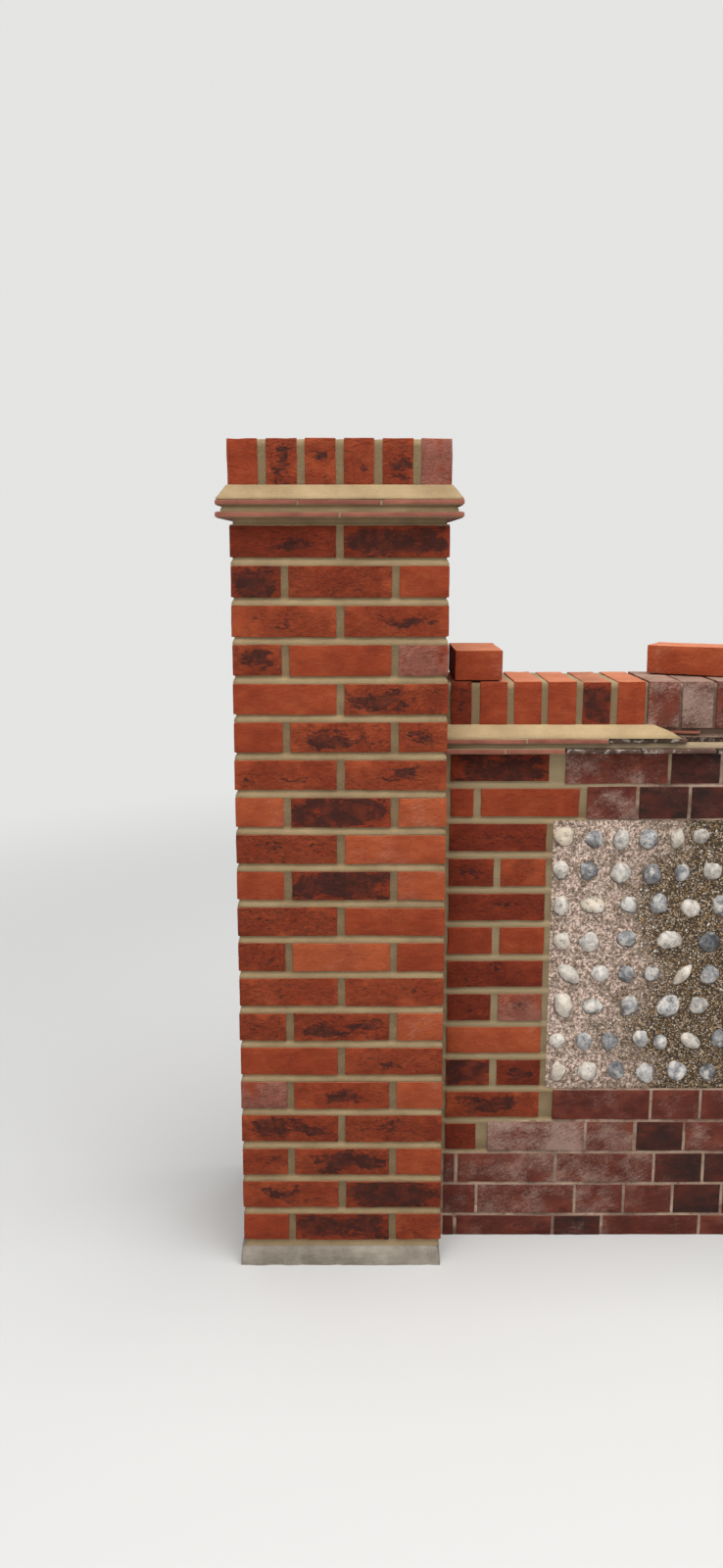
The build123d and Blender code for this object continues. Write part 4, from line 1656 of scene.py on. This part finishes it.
@dataclass
class RebuiltWork:
    """The new brickwork between the pier and the old wall."""

    plan: WallPlan

    def build(self) -> None:
        """Build the strip beside the panel and the ends of the top courses."""
        self.quoin()
        self.top_courses()

    def quoin(self) -> None:
        """Stretchers and pairs of headers in turn, with a tooth into the course below."""
        plan, work = self.plan, NEW_WORK
        masonry = Masonry("rebuilt_quoin", work, np.random.default_rng(21), plan=plan)
        left = (plan.start + plan.first_panel - work.stretcher) / 2
        base = plan.top_courses + plan.panel_courses + 1
        for number in range(plan.top_courses + 1, base + 1):
            right = plan.first_panel if number < base else plan.tooth(base)
            bricks = plan.strip_bricks(number, left, work)
            masonry.course(number, (plan.start, right), bricks, QUOIN_FRONT[number])
        tooth = plan.old_courses[base + 1][0]
        brick = (plan.start + work.joint, tooth - 2 * work.joint)
        masonry.course(base + 1, (plan.start, plan.tooth(base + 1)), [brick], QUOIN_FRONT[base + 1])
        masonry.seat()

    def top_courses(self) -> None:
        """The new ends of the two courses over the panel."""
        plan, work = self.plan, NEW_WORK
        random = np.random.default_rng(22)
        masonry = Masonry("rebuilt_top_courses", work, random, "rebuilt_top", plan=plan)
        first = plan.start + work.joint
        masonry.course(1, (plan.start, plan.tooth(1)), [(first, work.stretcher)], TOP_FRONT[1])
        reach = plan.old_courses[2][0]
        closer = reach - work.joint / 2 - work.stretcher - 2 * work.joint
        bricks = [(first, closer), (first + closer + work.joint, work.stretcher)]
        masonry.course(2, (plan.start, plan.tooth(2)), bricks, TOP_FRONT[2])
        masonry.seat()


@dataclass
class OldWall:
    """The old courses under and over the panels, and the strips between them."""

    plan: WallPlan

    def build(self) -> None:
        """Build both bays and both strips."""
        base = self.plan.top_courses + self.plan.panel_courses + 1
        for bay in (0, 1):
            self.courses(f"base_courses_{bay + 1}", range(base, self.plan.bottom_course + 1), bay)
            self.courses(f"top_courses_{bay + 1}", range(1, self.plan.top_courses + 1), bay)
        self.strip("middle_quoin", self.plan.middle_strip, self.plan.second_panel)
        self.strip("end_quoin", self.plan.end_strip, self.plan.end)

    def courses(self, node: str, numbers: range, bay: int) -> None:
        """Lay some plain courses of one bay.

        Args:
            node: The CAD node that they stand for.
            numbers: The courses.
            bay: 0 for the first bay, 1 for the second.
        """
        random = np.random.default_rng(30 + bay + 2 * numbers[0])
        masonry = Masonry(node, OLD_WORK, random, plan=self.plan)
        for number in numbers:
            bricks, left, right = self.plan.bay_bricks(number, bay)
            front = OLD_FRONT[number] if bay == 0 else ""
            masonry.course(number, (left, right), bricks, front)
        masonry.seat()

    def strip(self, node: str, left: float, right: float) -> None:
        """Lay a strip of old brick beside a panel.

        Args:
            node: The CAD node that it stands for.
            left: Its left end.
            right: Its right end.
        """
        plan, work = self.plan, OLD_WORK
        masonry = Masonry(node, work, np.random.default_rng(50 + round(left)), plan=plan)
        ends_wall = right >= plan.end - 1e-6
        x = right - work.stretcher if ends_wall else (left + right - work.stretcher) / 2
        for number in range(plan.top_courses + 1, plan.top_courses + plan.panel_courses + 1):
            masonry.course(number, (left, right), plan.strip_bricks(number, x, work))
        masonry.seat()


@dataclass(frozen=True)
class Cobble:
    """One stone of a panel: where it lies in its row, how large it is, and its colour."""

    along: float
    width: float
    height: float
    tone: float
    warm: float = 0.0
    turn: float = 0.0


# First place and pitch of the cobbles in each row from the top
COBBLE_ROWS: tuple[Span, ...] = (
    (0.024, 0.060), (0.020, 0.0665), (0.022, 0.071), (0.025, 0.082),
    (0.043, 0.0635), (0.032, 0.076), (0.023, 0.060), (0.026, 0.0675),
)
# The stones that the photograph shows, row by row from the top: millimetres from the panel's edge,
# width and height, then tone, warmth and turn
FRONT_COBBLES: tuple[tuple[tuple[float, ...], ...], ...] = (
    ((24, 50, 46, 0.9, 0.8), (90, 44, 46, 0.3), (147, 40, 50, 0.1, 0.2), (207, 46, 50, 0.3),
     (271, 36, 50, 0, 0.5), (322, 44, 40, 0.4, 0.3)),
    ((20, 40, 48, 1, 0.3), (80, 46, 48, 0.1), (151, 50, 50, 0.9, 0.2), (217, 48, 54, 0),
     (284, 38, 40, 0), (350, 44, 44, 0.8, 0.3)),
    ((22, 40, 50, 1, 0.3), (92, 68, 48, 1, 0.7, -0.2), (173, 46, 52, 0.5), (238, 44, 56, 0.4),
     (307, 52, 52, 0.9, 0.3), (374, 44, 54, 0.2)),
    ((25, 42, 42, 1, 0.4), (88, 56, 48, 0.8, 0.2, 0.2), (170, 54, 54, 0.2), (266, 64, 48, 0.9, 0.2),
     (354, 60, 58, -0.9)),
    ((43, 64, 42, 0.9, 0.3, -0.8), (113, 46, 42, 0.9, 0.1), (171, 42, 46, 0),
     (228, 44, 40, -0.1, 0, 0.5), (298, 62, 28, 0.7, 0.5, 0.85), (359, 48, 52, 0.3)),
    ((32, 56, 68, 1, 0.4, 0.4), (98, 56, 46, 0.9, 0.1), (181, 48, 58, 0.5), (269, 62, 66, 1, 0, -0.6),
     (337, 46, 42, 0.2, 0.2)),
    ((23, 38, 36, 1, 0.3), (85, 46, 46, 0.5), (140, 38, 46, 0.1), (211, 36, 42, 0.7),
     (255, 36, 36, 0.3), (323, 52, 34, 0.6, 0.3, -0.5)),
    ((26, 38, 48, 1, 0.5), (92, 50, 54, 1, 0.3), (159, 40, 44, -0.3), (225, 48, 58, 0.7, 0, 0.5),
     (296, 52, 52, 0.6), (365, 38, 44, -0.4)),
)


@dataclass
class CobblePanel:
    """One face of a panel: rows of cobbles half sunk in pebbly mortar."""

    plan: WallPlan
    node: str
    left: float
    facing: float
    near_new_work: bool
    known: tuple[tuple[tuple[float, ...], ...], ...] = ()
    recess: float = 0.005
    stands_out: float = 0.0165
    cell: float = 0.0085
    edge_room: float = 0.026
    nearest: float = 0.024
    along_slack: float = 0.004
    up_slack: float = 0.005
    mound: float = 0.0022
    mound_reach: float = 0.007
    sunk_edge: float = 0.006
    widths: Span = (0.038, 0.056)
    heights: Span = (0.038, 0.054)
    tones: Span = (-0.7, 1.0)
    most_turn: float = 0.6
    seed: int = 70

    def __post_init__(self) -> None:
        """Find the panel's levels."""
        self.low = self.plan.bed(self.plan.top_courses + self.plan.panel_courses)
        self.high = self.plan.bed(self.plan.top_courses)
        self.random = np.random.default_rng(self.seed)
        self.y = self.facing * (self.plan.thickness / 2 - self.recess)

    def build(self) -> None:
        """Build the mortar face and the stones."""
        rows = self.rows()
        self.mortar(rows)
        self.stones(rows)

    def rows(self) -> list[list[tuple[Cobble, float]]]:
        """Place every stone of the panel.

        Returns:
            The stones and their heights, row by row.
        """
        rows = []
        for number, (first, pitch) in enumerate(COBBLE_ROWS):
            height = self.high - (number + 0.5) * self.plan.gauge
            known = self.known[number] if self.known else ()
            stones = [Cobble(*(size / 1000.0 for size in stone[:3]), *stone[3:]) for stone in known]
            along = first + len(stones) * pitch
            while along < self.plan.panel - self.edge_room:
                stones.append(self.any_stone(max(along + self.slack(self.along_slack), self.nearest)))
                along += pitch
            rows.append([(stone, height + self.slack(self.up_slack)) for stone in stones])
        return rows

    def slack(self, most: float) -> float:
        """A random distance either way."""
        return self.random.uniform(-most, most)

    def any_stone(self, along: float) -> Cobble:
        """A stone like the ones that show.

        Args:
            along: Where it lies in its row.

        Returns:
            The stone.
        """
        width = self.random.uniform(*self.widths)
        height = self.random.uniform(*self.heights)
        warm = float(np.clip(self.random.normal(0.1, 0.3), 0.0, 0.9))
        turn = self.slack(self.most_turn)
        return Cobble(along, width, height, self.random.uniform(*self.tones), warm, turn)

    def mortar(self, rows: list[list[tuple[Cobble, float]]]) -> None:
        """The pebbly face, mounded a little round each stone.

        Args:
            rows: The stones and their heights.
        """
        across = np.linspace(self.left, self.left + self.plan.panel, round(self.plan.panel / self.cell))
        up = np.linspace(self.low, self.high, round((self.high - self.low) / self.cell))
        grid_x, grid_z = np.meshgrid(across, up)
        flat = np.column_stack((grid_x.ravel(), np.zeros(grid_x.size), grid_z.ravel()))
        depth = ripple(flat, self.seed, (30.0, 0.0011), (85.0, 0.0008)).reshape(grid_x.shape)
        for row in rows:
            for stone, height in row:
                radius = (stone.width + stone.height) / 4
                gap = np.hypot(grid_x - self.left - stone.along, grid_z - height) - radius
                depth += self.mound * np.exp(-((gap / self.mound_reach) ** 2))
        sheet = np.stack((grid_x, self.y + self.facing * depth, grid_z), axis=-1)
        skin = Skin(f"{self.node}_mortar")
        skin.add_grid(sheet, flipped=self.facing > 0)
        skin.seat(SMEARED_GRAVEL if self.near_new_work else GRAVEL, self.node)

    def stones(self, rows: list[list[tuple[Cobble, float]]]) -> None:
        """The cobbles, lumpy and half sunk.

        Args:
            rows: The stones and their heights.
        """
        ball, faces = unit_ball(2)
        skin = Skin(f"{self.node}_cobbles")
        for row in rows:
            for stone, height in row:
                shift = self.random.uniform(-50.0, 50.0, 3)
                lumps = 1.0 + ripple(ball, Wander.COBBLE, (1.5, 0.16), (4.0, 0.06), shift)
                thick = 0.5 * min(stone.width, stone.height) * self.random.uniform(1.0, 1.25)
                shape = ball * lumps[:, None] * (stone.width / 2, thick, stone.height / 2)
                across, up = turned(shape[:, 0], shape[:, 2], stone.turn)
                sunk = self.y - self.facing * (thick - self.stands_out * self.random.uniform(0.85, 1.08))
                place = (self.left + stone.along, sunk, height)
                points = np.column_stack((across, shape[:, 1], up)) + place
                out = (points[:, 1] - self.y) * self.facing
                kept = faces[np.any((out >= -self.sunk_edge)[faces], axis=1)]
                burn = Burn(tone=stone.tone, patch=self.random.uniform(0.2, 1.0), bloom=stone.warm)
                skin.add(points, kept, shape + shift, burn, centred=out / self.stands_out)
        skin.seat(COBBLES, self.node)


def unit_ball(divisions: int) -> tuple[np.ndarray, np.ndarray]:
    """A ball of triangles, by splitting an icosahedron.

    Args:
        divisions: How often each triangle is split in four.

    Returns:
        Its points and its triangles.
    """
    golden = (1.0 + math.sqrt(5.0)) / 2.0
    pairs = [(a, b) for a in (-1.0, 1.0) for b in (-golden, golden)]
    points = [(a, b, 0.0) for a, b in pairs] + [(0.0, a, b) for a, b in pairs]
    points += [(b, 0.0, a) for a, b in pairs]
    corners = [np.array(point) / math.hypot(1.0, golden) for point in points]
    edge = min(np.linalg.norm(corners[0] - corner) for corner in corners[1:]) * 1.05
    faces = []
    for a, b, c in combinations(range(len(corners)), 3):
        one, two, three = corners[a], corners[b], corners[c]
        if max(math.dist(one, two), math.dist(two, three), math.dist(three, one)) < edge:
            outward = np.dot(np.cross(two - one, three - one), one) > 0
            faces.append((a, b, c) if outward else (a, c, b))
    for _ in range(divisions):
        middles: dict[tuple[int, int], int] = {}
        split = []
        for face in faces:
            halfway = []
            for ends in zip(face, face[1:] + face[:1]):
                key = tuple(sorted(ends))
                if key not in middles:
                    middle = corners[key[0]] + corners[key[1]]
                    middles[key] = len(corners)
                    corners.append(middle / np.linalg.norm(middle))
                halfway.append(middles[key])
            ab, bc, ca = halfway
            split += [(face[0], ab, ca), (face[1], bc, ab), (face[2], ca, bc), (ab, bc, ca)]
        faces = split
    return np.array(corners), np.array(faces)


@dataclass
class WallHead:
    """The wall's creasing tiles, their mortar, the fillet and the coping of bricks on edge."""

    plan: WallPlan
    tile_width: float = 0.165
    lower_wear: float = 0.22
    upper_wear: float = 0.40
    lower_loss: float = 0.9
    upper_loss: float = 1.0
    fresh_joint: float = 0.90
    slip_start: float = 0.012
    slip_longest: float = 0.11
    slip_depth: float = 0.03
    slip_thickness: float = 0.007
    slip_sunk: Span = (0.009, 0.012)
    slip_proud: Span = (-0.001, 0.005)
    slip_gap: Span = (0.004, 0.14)
    cut_brick: float = 0.047
    new_pitch: float = 0.0733
    old_pitch: float = 0.0726
    new_brick: float = 0.062
    old_brick: float = 0.068
    end_inset: float = 0.012
    coping_slack: float = 0.0015
    mortar_step: float = 0.012
    seed: int = 90

    def __post_init__(self) -> None:
        """Seed the unevenness."""
        self.random = np.random.default_rng(self.seed)

    def build(self) -> None:
        """Build the head of the wall, from the tiles up."""
        for node in ("new_lower_tiles", "new_upper_tiles"):
            self.tiles(node, NEW_TILE)
            self.band(node, WALL_POINTING)
        for bay, lower, upper in ((1, (4,), (1, 5)), (2, (3, 7), (2, 6))):
            lost = dict.fromkeys(lower, self.lower_loss), dict.fromkeys(upper, self.upper_loss)
            self.tiles(f"old_lower_tiles_{bay}", OLD_TILE, lost[0], self.lower_wear)
            self.tiles(f"old_upper_tiles_{bay}", OLD_TILE, lost[1], self.upper_wear)
            self.band(f"old_tile_joint_{bay}", OLD_TILE_JOINT)
            self.fillet(f"old_fillet_{bay}", OLD_SLOPE)
            self.slips(f"old_fillet_{bay}")
        self.band("new_tile_joint", NEW_TILE_JOINT)
        self.fillet("new_fillet", NEW_SLOPE)
        self.coping("new_coping", NEW_WORK, self.new_brick, self.new_pitch, WALL_COPING_FRONT)
        for bay in (1, 2):
            low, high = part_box(f"old_coping_{bay}")
            count = round((high[0] - low[0]) / self.old_pitch)
            pitch = (high[0] - low[0]) / count
            self.coping(f"old_coping_{bay}", OLD_WORK, self.old_brick, pitch, "sg" if bay == 1 else "")

    def tiles(
        self, node: str, coat: Coat, losses: dict[int, float] | None = None, wear: float = 0.0
    ) -> None:
        """Lay the tiles of a node.

        Args:
            node: The CAD node that they stand for.
            coat: Their finish.
            losses: The tiles whose front nose is gone, and how much of it.
            wear: How worn the other noses are.
        """
        low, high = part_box(node)
        count = round((high[0] - low[0]) / self.tile_width)
        TileCourse(node, count, 1, losses or {}, wear).lay(coat, self.random)

    def band(self, node: str, trowel: Trowelled) -> None:
        """A band of mortar at the height of a node, between two courses of tiles or in their gaps.

        Args:
            node: The CAD node that it stands for.
            trowel: How it was finished.
        """
        low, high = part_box(node)
        front, back, slant = low[1] - trowel.outset, high[1] + trowel.outset, trowel.slant
        section = [(front, low[2]), (front + slant, high[2]), (back - slant, high[2]), (back, low[2])]
        self.beam(node, section, trowel)

    def fillet(self, node: str, trowel: Trowelled) -> None:
        """The sloping mortar at the foot of the coping.

        Args:
            node: The CAD node that it stands for.
            trowel: How it was finished.
        """
        low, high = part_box(node)
        foot, face, rise, worn = low[1], self.plan.face, high[2] - low[2], trowel.worn
        slope = [
            (foot + 0.0015 + 0.3 * worn, low[2]),
            (foot + 0.001 + 0.6 * worn, low[2] + 0.0025),
            (foot + 0.35 * (face - foot) + 1.2 * worn, low[2] + 0.36 * rise),
            (foot + 0.7 * (face - foot) + worn, low[2] + 0.7 * rise),
            (face + 0.0005 + 0.6 * worn, high[2] - 0.001),
            (face + 0.012, high[2]),
        ]
        self.beam(node, slope + [(-y, z) for y, z in reversed(slope)], trowel)

    def slips(self, node: str) -> None:
        """Broken slips of old tile left in the worn mortar under the coping.

        Args:
            node: The CAD node of that mortar.
        """
        low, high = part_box(node)
        skin = Skin(f"{node}_tile_slips")
        for way in (-1, 1):
            x = low[0] + self.slip_start
            while x < high[0] - self.slip_longest:
                length = self.random.uniform(0.3, 1.0) * self.slip_longest
                level = high[2] - self.random.uniform(*self.slip_sunk)
                reach = self.plan.thickness / 2 + self.random.uniform(*self.slip_proud)
                near, far = sorted((way * reach, way * (reach - self.slip_depth)))
                corner = (x + length, far, level + self.slip_thickness)
                block = Block(
                    (x, near, level), corner, ALL_SIDES, radius=0.002, step=0.018, wobble=0.001, chips=3
                )
                points, quads, local, _ = block.surface(self.random)
                skin.add(points, quads, local, Burn())
                x += length + self.random.uniform(*self.slip_gap)
        skin.seat(NEW_TILE.on("old_tile"), node)

    def beam(self, node: str, section: list[Span], trowel: Trowelled) -> None:
        """Run a section along the length of a node and close its ends.

        Args:
            node: The CAD node that it stands for.
            section: Y and Z of its points, round from the front foot to the back foot.
            trowel: How it was finished.
        """
        start, finish = (corner[0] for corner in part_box(node))
        count = max(2, round((finish - start) / self.mortar_step))
        foot, head = section[0][1], max(z for _, z in section)
        rows = []
        for y, z in section:
            ragged = lattice_noise(np.array([[y * 60.0, z * 160.0, 0.0]]), Wander.SMEARED_END)[0]
            reach = np.interp((z - foot) / (head - foot), (0.0, 0.4, 0.8, 1.0), (0.45, 0.40, -0.30, -0.45))
            columns = np.linspace(start, finish + trowel.tail * (reach + 0.2 * ragged), count)
            flat = np.column_stack((columns, np.full(count, y), np.full(count, z)))
            wander = ripple(flat, Wander.WALL_BEAM, (33.0, 1.0), (90.0, 0.6))
            flat[:, 1] += wander * trowel.unevenness * (-1.0 if y < 0 else 1.0)
            rows.append(flat)
        sheet = np.array(rows)
        skin = Skin(f"{node}_mortar")
        fresh = np.clip((self.fresh_joint - sheet.reshape(-1, 3)[:, 0]) / 0.1, 0.0, 1.0)
        fresh *= "fillet" not in node
        skin.add_beam(sheet, [trowel.tone] * len(section), trowel.tone, fresh)
        skin.seat(trowel.coat, node)

    def coping(self, node: str, work: Brickwork, brick: float, pitch: float, front: str) -> None:
        """Bricks on edge across the wall, and the mortar between them.

        Args:
            node: The CAD node that they stand for.
            work: The kind of brickwork.
            brick: Width of a brick along the wall.
            pitch: From one brick to the next.
            front: The looks of the first bricks.
        """
        low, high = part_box(node)
        places: list[Span] = []
        x = low[0] + (pitch - brick) / 2
        if work is NEW_WORK:
            places.append((low[0] + work.joint, self.cut_brick))
            x = low[0] + self.cut_brick + 2 * work.joint
        while x + brick < high[0] + pitch / 4:
            places.append((x, brick))
            x += pitch
        layer = Bricklayer(node, work, self.random, edge=True)
        layer.lay_on_edge([(low[1], high[1])], places, front, self.coping_slack)
        right_end = self.end_inset if high[0] >= self.plan.end - pitch else 0.0
        layer.fill_on_edge(work.edge_inset, (0.0, right_end), Wander.WALL_COPING)
        layer.seat()


@dataclass
class LooseBricks:
    """Two new bricks left lying on the coping."""

    plan: WallPlan
    size: Vector3 = (0.215, 0.1025, 0.065)
    header_place: Vector3 = (0.072, 0.0, 90.0)
    stretcher_place: Vector3 = (0.580, 0.040, -28.0)

    def build(self) -> None:
        """Build both bricks."""
        self.brick("loose_brick_left", self.header_place, Burn(tone=0.0, fleck=0.05, bloom=0.1))
        self.brick("loose_brick_right", self.stretcher_place, Burn(tone=0.8, fleck=0.0, bloom=0.15))

    def brick(self, node: str, place: Vector3, burn: Burn) -> None:
        """Lay one brick on the coping.

        Args:
            node: The CAD node that it stands for.
            place: Distance from the pier, distance across the wall, and turn in degrees.
            burn: Its look.
        """
        low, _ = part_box(node)
        along, across, turn = place
        half_length, half_width, height = self.size[0] / 2, self.size[1] / 2, self.size[2]
        low_corner = (-half_length, -half_width, 0.0)
        block = NEW_WORK.block(low_corner, (half_length, half_width, height), ALL_SIDES)
        points, quads, local, _ = block.surface(np.random.default_rng(len(node)))
        x, y = turned(points[:, 0], points[:, 1], math.radians(turn))
        placed = np.column_stack((x, y, points[:, 2])) + (self.plan.start + along, across, low[2])
        skin = Skin(f"{node}_clay")
        skin.add(placed, quads, local, burn)
        skin.seat(NEW_COPING_BRICK, node)


@dataclass(frozen=True)
class Lamp:
    """A square soft lamp: its name, where it hangs, where it points, its side and its power."""

    name: str
    place: Vector3
    target: Vector3
    size: float
    power: float

    def hang(self) -> None:
        """Add the lamp to the scene."""
        data = bpy.data.lights.new(self.name, "AREA")
        data.shape = "SQUARE"
        data.size = self.size
        data.energy = self.power
        lamp = bpy.data.objects.new(self.name, data)
        lamp.location = self.place
        x, y, z = np.subtract(self.place, self.target)
        lamp.rotation_euler = (math.atan2(math.hypot(x, y), z), 0.0, math.atan2(y, x) + math.pi / 2)
        bpy.context.scene.collection.objects.link(lamp)


@dataclass
class Studio:
    """Pale floor and backdrop, soft light, and the camera at the photograph's view."""

    focal_px: float = 1211.0
    frame_px: float = 1600.0
    pitch_down: float = 11.09
    sensor: float = 36.0
    sight: float = 100.0
    camera_place: Vector3 = (0.0428, -2.616, 1.5615)
    pale: Vector3 = (0.78, 0.78, 0.77)
    floor: Vector3 = (0.62, 0.62, 0.61)
    middle: Vector3 = (1.7, 0.0, 0.0)
    fade: Span = (2.7, 3.2)
    rings: tuple[float, ...] = (0.01, 4.0, 12.0, 60.0)
    sky: float = 0.35
    lamps: tuple[Lamp, ...] = (
        Lamp("sky_lamp", (1.2, -1.6, 6.0), (1.2, 0.0, 0.6), 6.0, 500.0),
        Lamp("front_lamp", (-2.5, -7.0, 3.6), (1.0, 0.0, 0.8), 4.0, 125.0),
        Lamp("back_lamp", (4.5, 7.0, 3.6), (1.0, 0.0, 0.8), 4.0, 125.0),
    )

    def build(self) -> None:
        """Set up the whole studio."""
        self.camera()
        self.stage()
        self.light()
        bpy.context.scene.view_settings.view_transform = "Standard"

    def camera(self) -> None:
        """The camera, level along the wall's normal and tipped down."""
        data = bpy.data.cameras.new("camera")
        data.sensor_width = self.sensor
        data.lens = self.focal_px / self.frame_px * self.sensor
        data.clip_end = self.sight
        camera = bpy.data.objects.new("camera", data)
        camera.location = self.camera_place
        camera.rotation_euler = (math.radians(90.0 - self.pitch_down), 0.0, 0.0)
        bpy.context.scene.collection.objects.link(camera)
        bpy.context.scene.camera = camera

    def stage(self) -> None:
        """A wide pale floor that passes into the backdrop's colour far behind the wall."""
        graph = Graph.of("pale_floor")
        where = graph.node("ShaderNodeTexCoord", output="Object")
        measure = {"operation": "DISTANCE"}
        distance = graph.node("ShaderNodeVectorMath", measure, {0: where, 1: self.middle}, "Value")
        ground = graph.node("ShaderNodeBsdfDiffuse", None, {"Color": self.floor})
        glow = graph.node("ShaderNodeEmission", None, {"Color": self.pale, "Strength": 1.0})
        blend = {0: distance.step(*self.fade), 1: ground, 2: glow}
        graph.close(graph.node("ShaderNodeMixShader", None, blend))
        angles = np.linspace(0.0, 2 * math.pi, 65)[:-1]
        rings = np.array([[
            (self.middle[0] + reach * math.cos(angle), reach * math.sin(angle), 0.0) for angle in angles
        ] for reach in self.rings])
        skin = Skin("floor")
        skin.add_grid(rings, closed=True, flipped=True)
        skin.build(graph.owner)

    def light(self) -> None:
        """An even sky, a broad soft light overhead and weak ones at the front and back."""
        world = bpy.data.worlds.new("studio_sky")
        bpy.context.scene.world = world
        graph = Graph(world)
        path = graph.node("ShaderNodeLightPath", output="Is Camera Ray")
        rays = path.socket.node.outputs
        seen = path + Value(graph, rays["Is Glossy Ray"]) + Value(graph, rays["Is Transmission Ray"])
        sky = graph.node("ShaderNodeBackground", None, {"Color": (1.0, 1.0, 1.0), "Strength": self.sky})
        backdrop = graph.node("ShaderNodeBackground", None, {"Color": self.pale, "Strength": 1.0})
        mixed = graph.node("ShaderNodeMixShader", None, {0: seen.clamp(), 1: sky, 2: backdrop})
        graph.close(mixed, "ShaderNodeOutputWorld")
        for lamp in self.lamps:
            lamp.hang()


def main() -> None:
    """Build the studio and the wall, piece by piece."""
    logging.basicConfig(level=logging.INFO, format="%(name)s: %(message)s")
    Studio().build()
    plan = WallPlan()
    Pier().build()
    RebuiltWork(plan).build()
    OldWall(plan).build()
    for number, left in enumerate((plan.first_panel, plan.second_panel), start=1):
        for side, facing in (("front", -1.0), ("back", 1.0)):
            known = FRONT_COBBLES if (number, side) == (1, "front") else ()
            node = f"flint_{side}_{number}"
            seed = 70 + 10 * number + int(facing)
            CobblePanel(plan, node, left, facing, number == 1, known, seed=seed).build()
    WallHead(plan).build()
    LooseBricks(plan).build()
    total = sum(len(piece.data.polygons) for piece in bpy.data.objects if piece.type == "MESH")
    LOG.info("faces in all: %d", total)


if __name__ == "__main__":
    main()
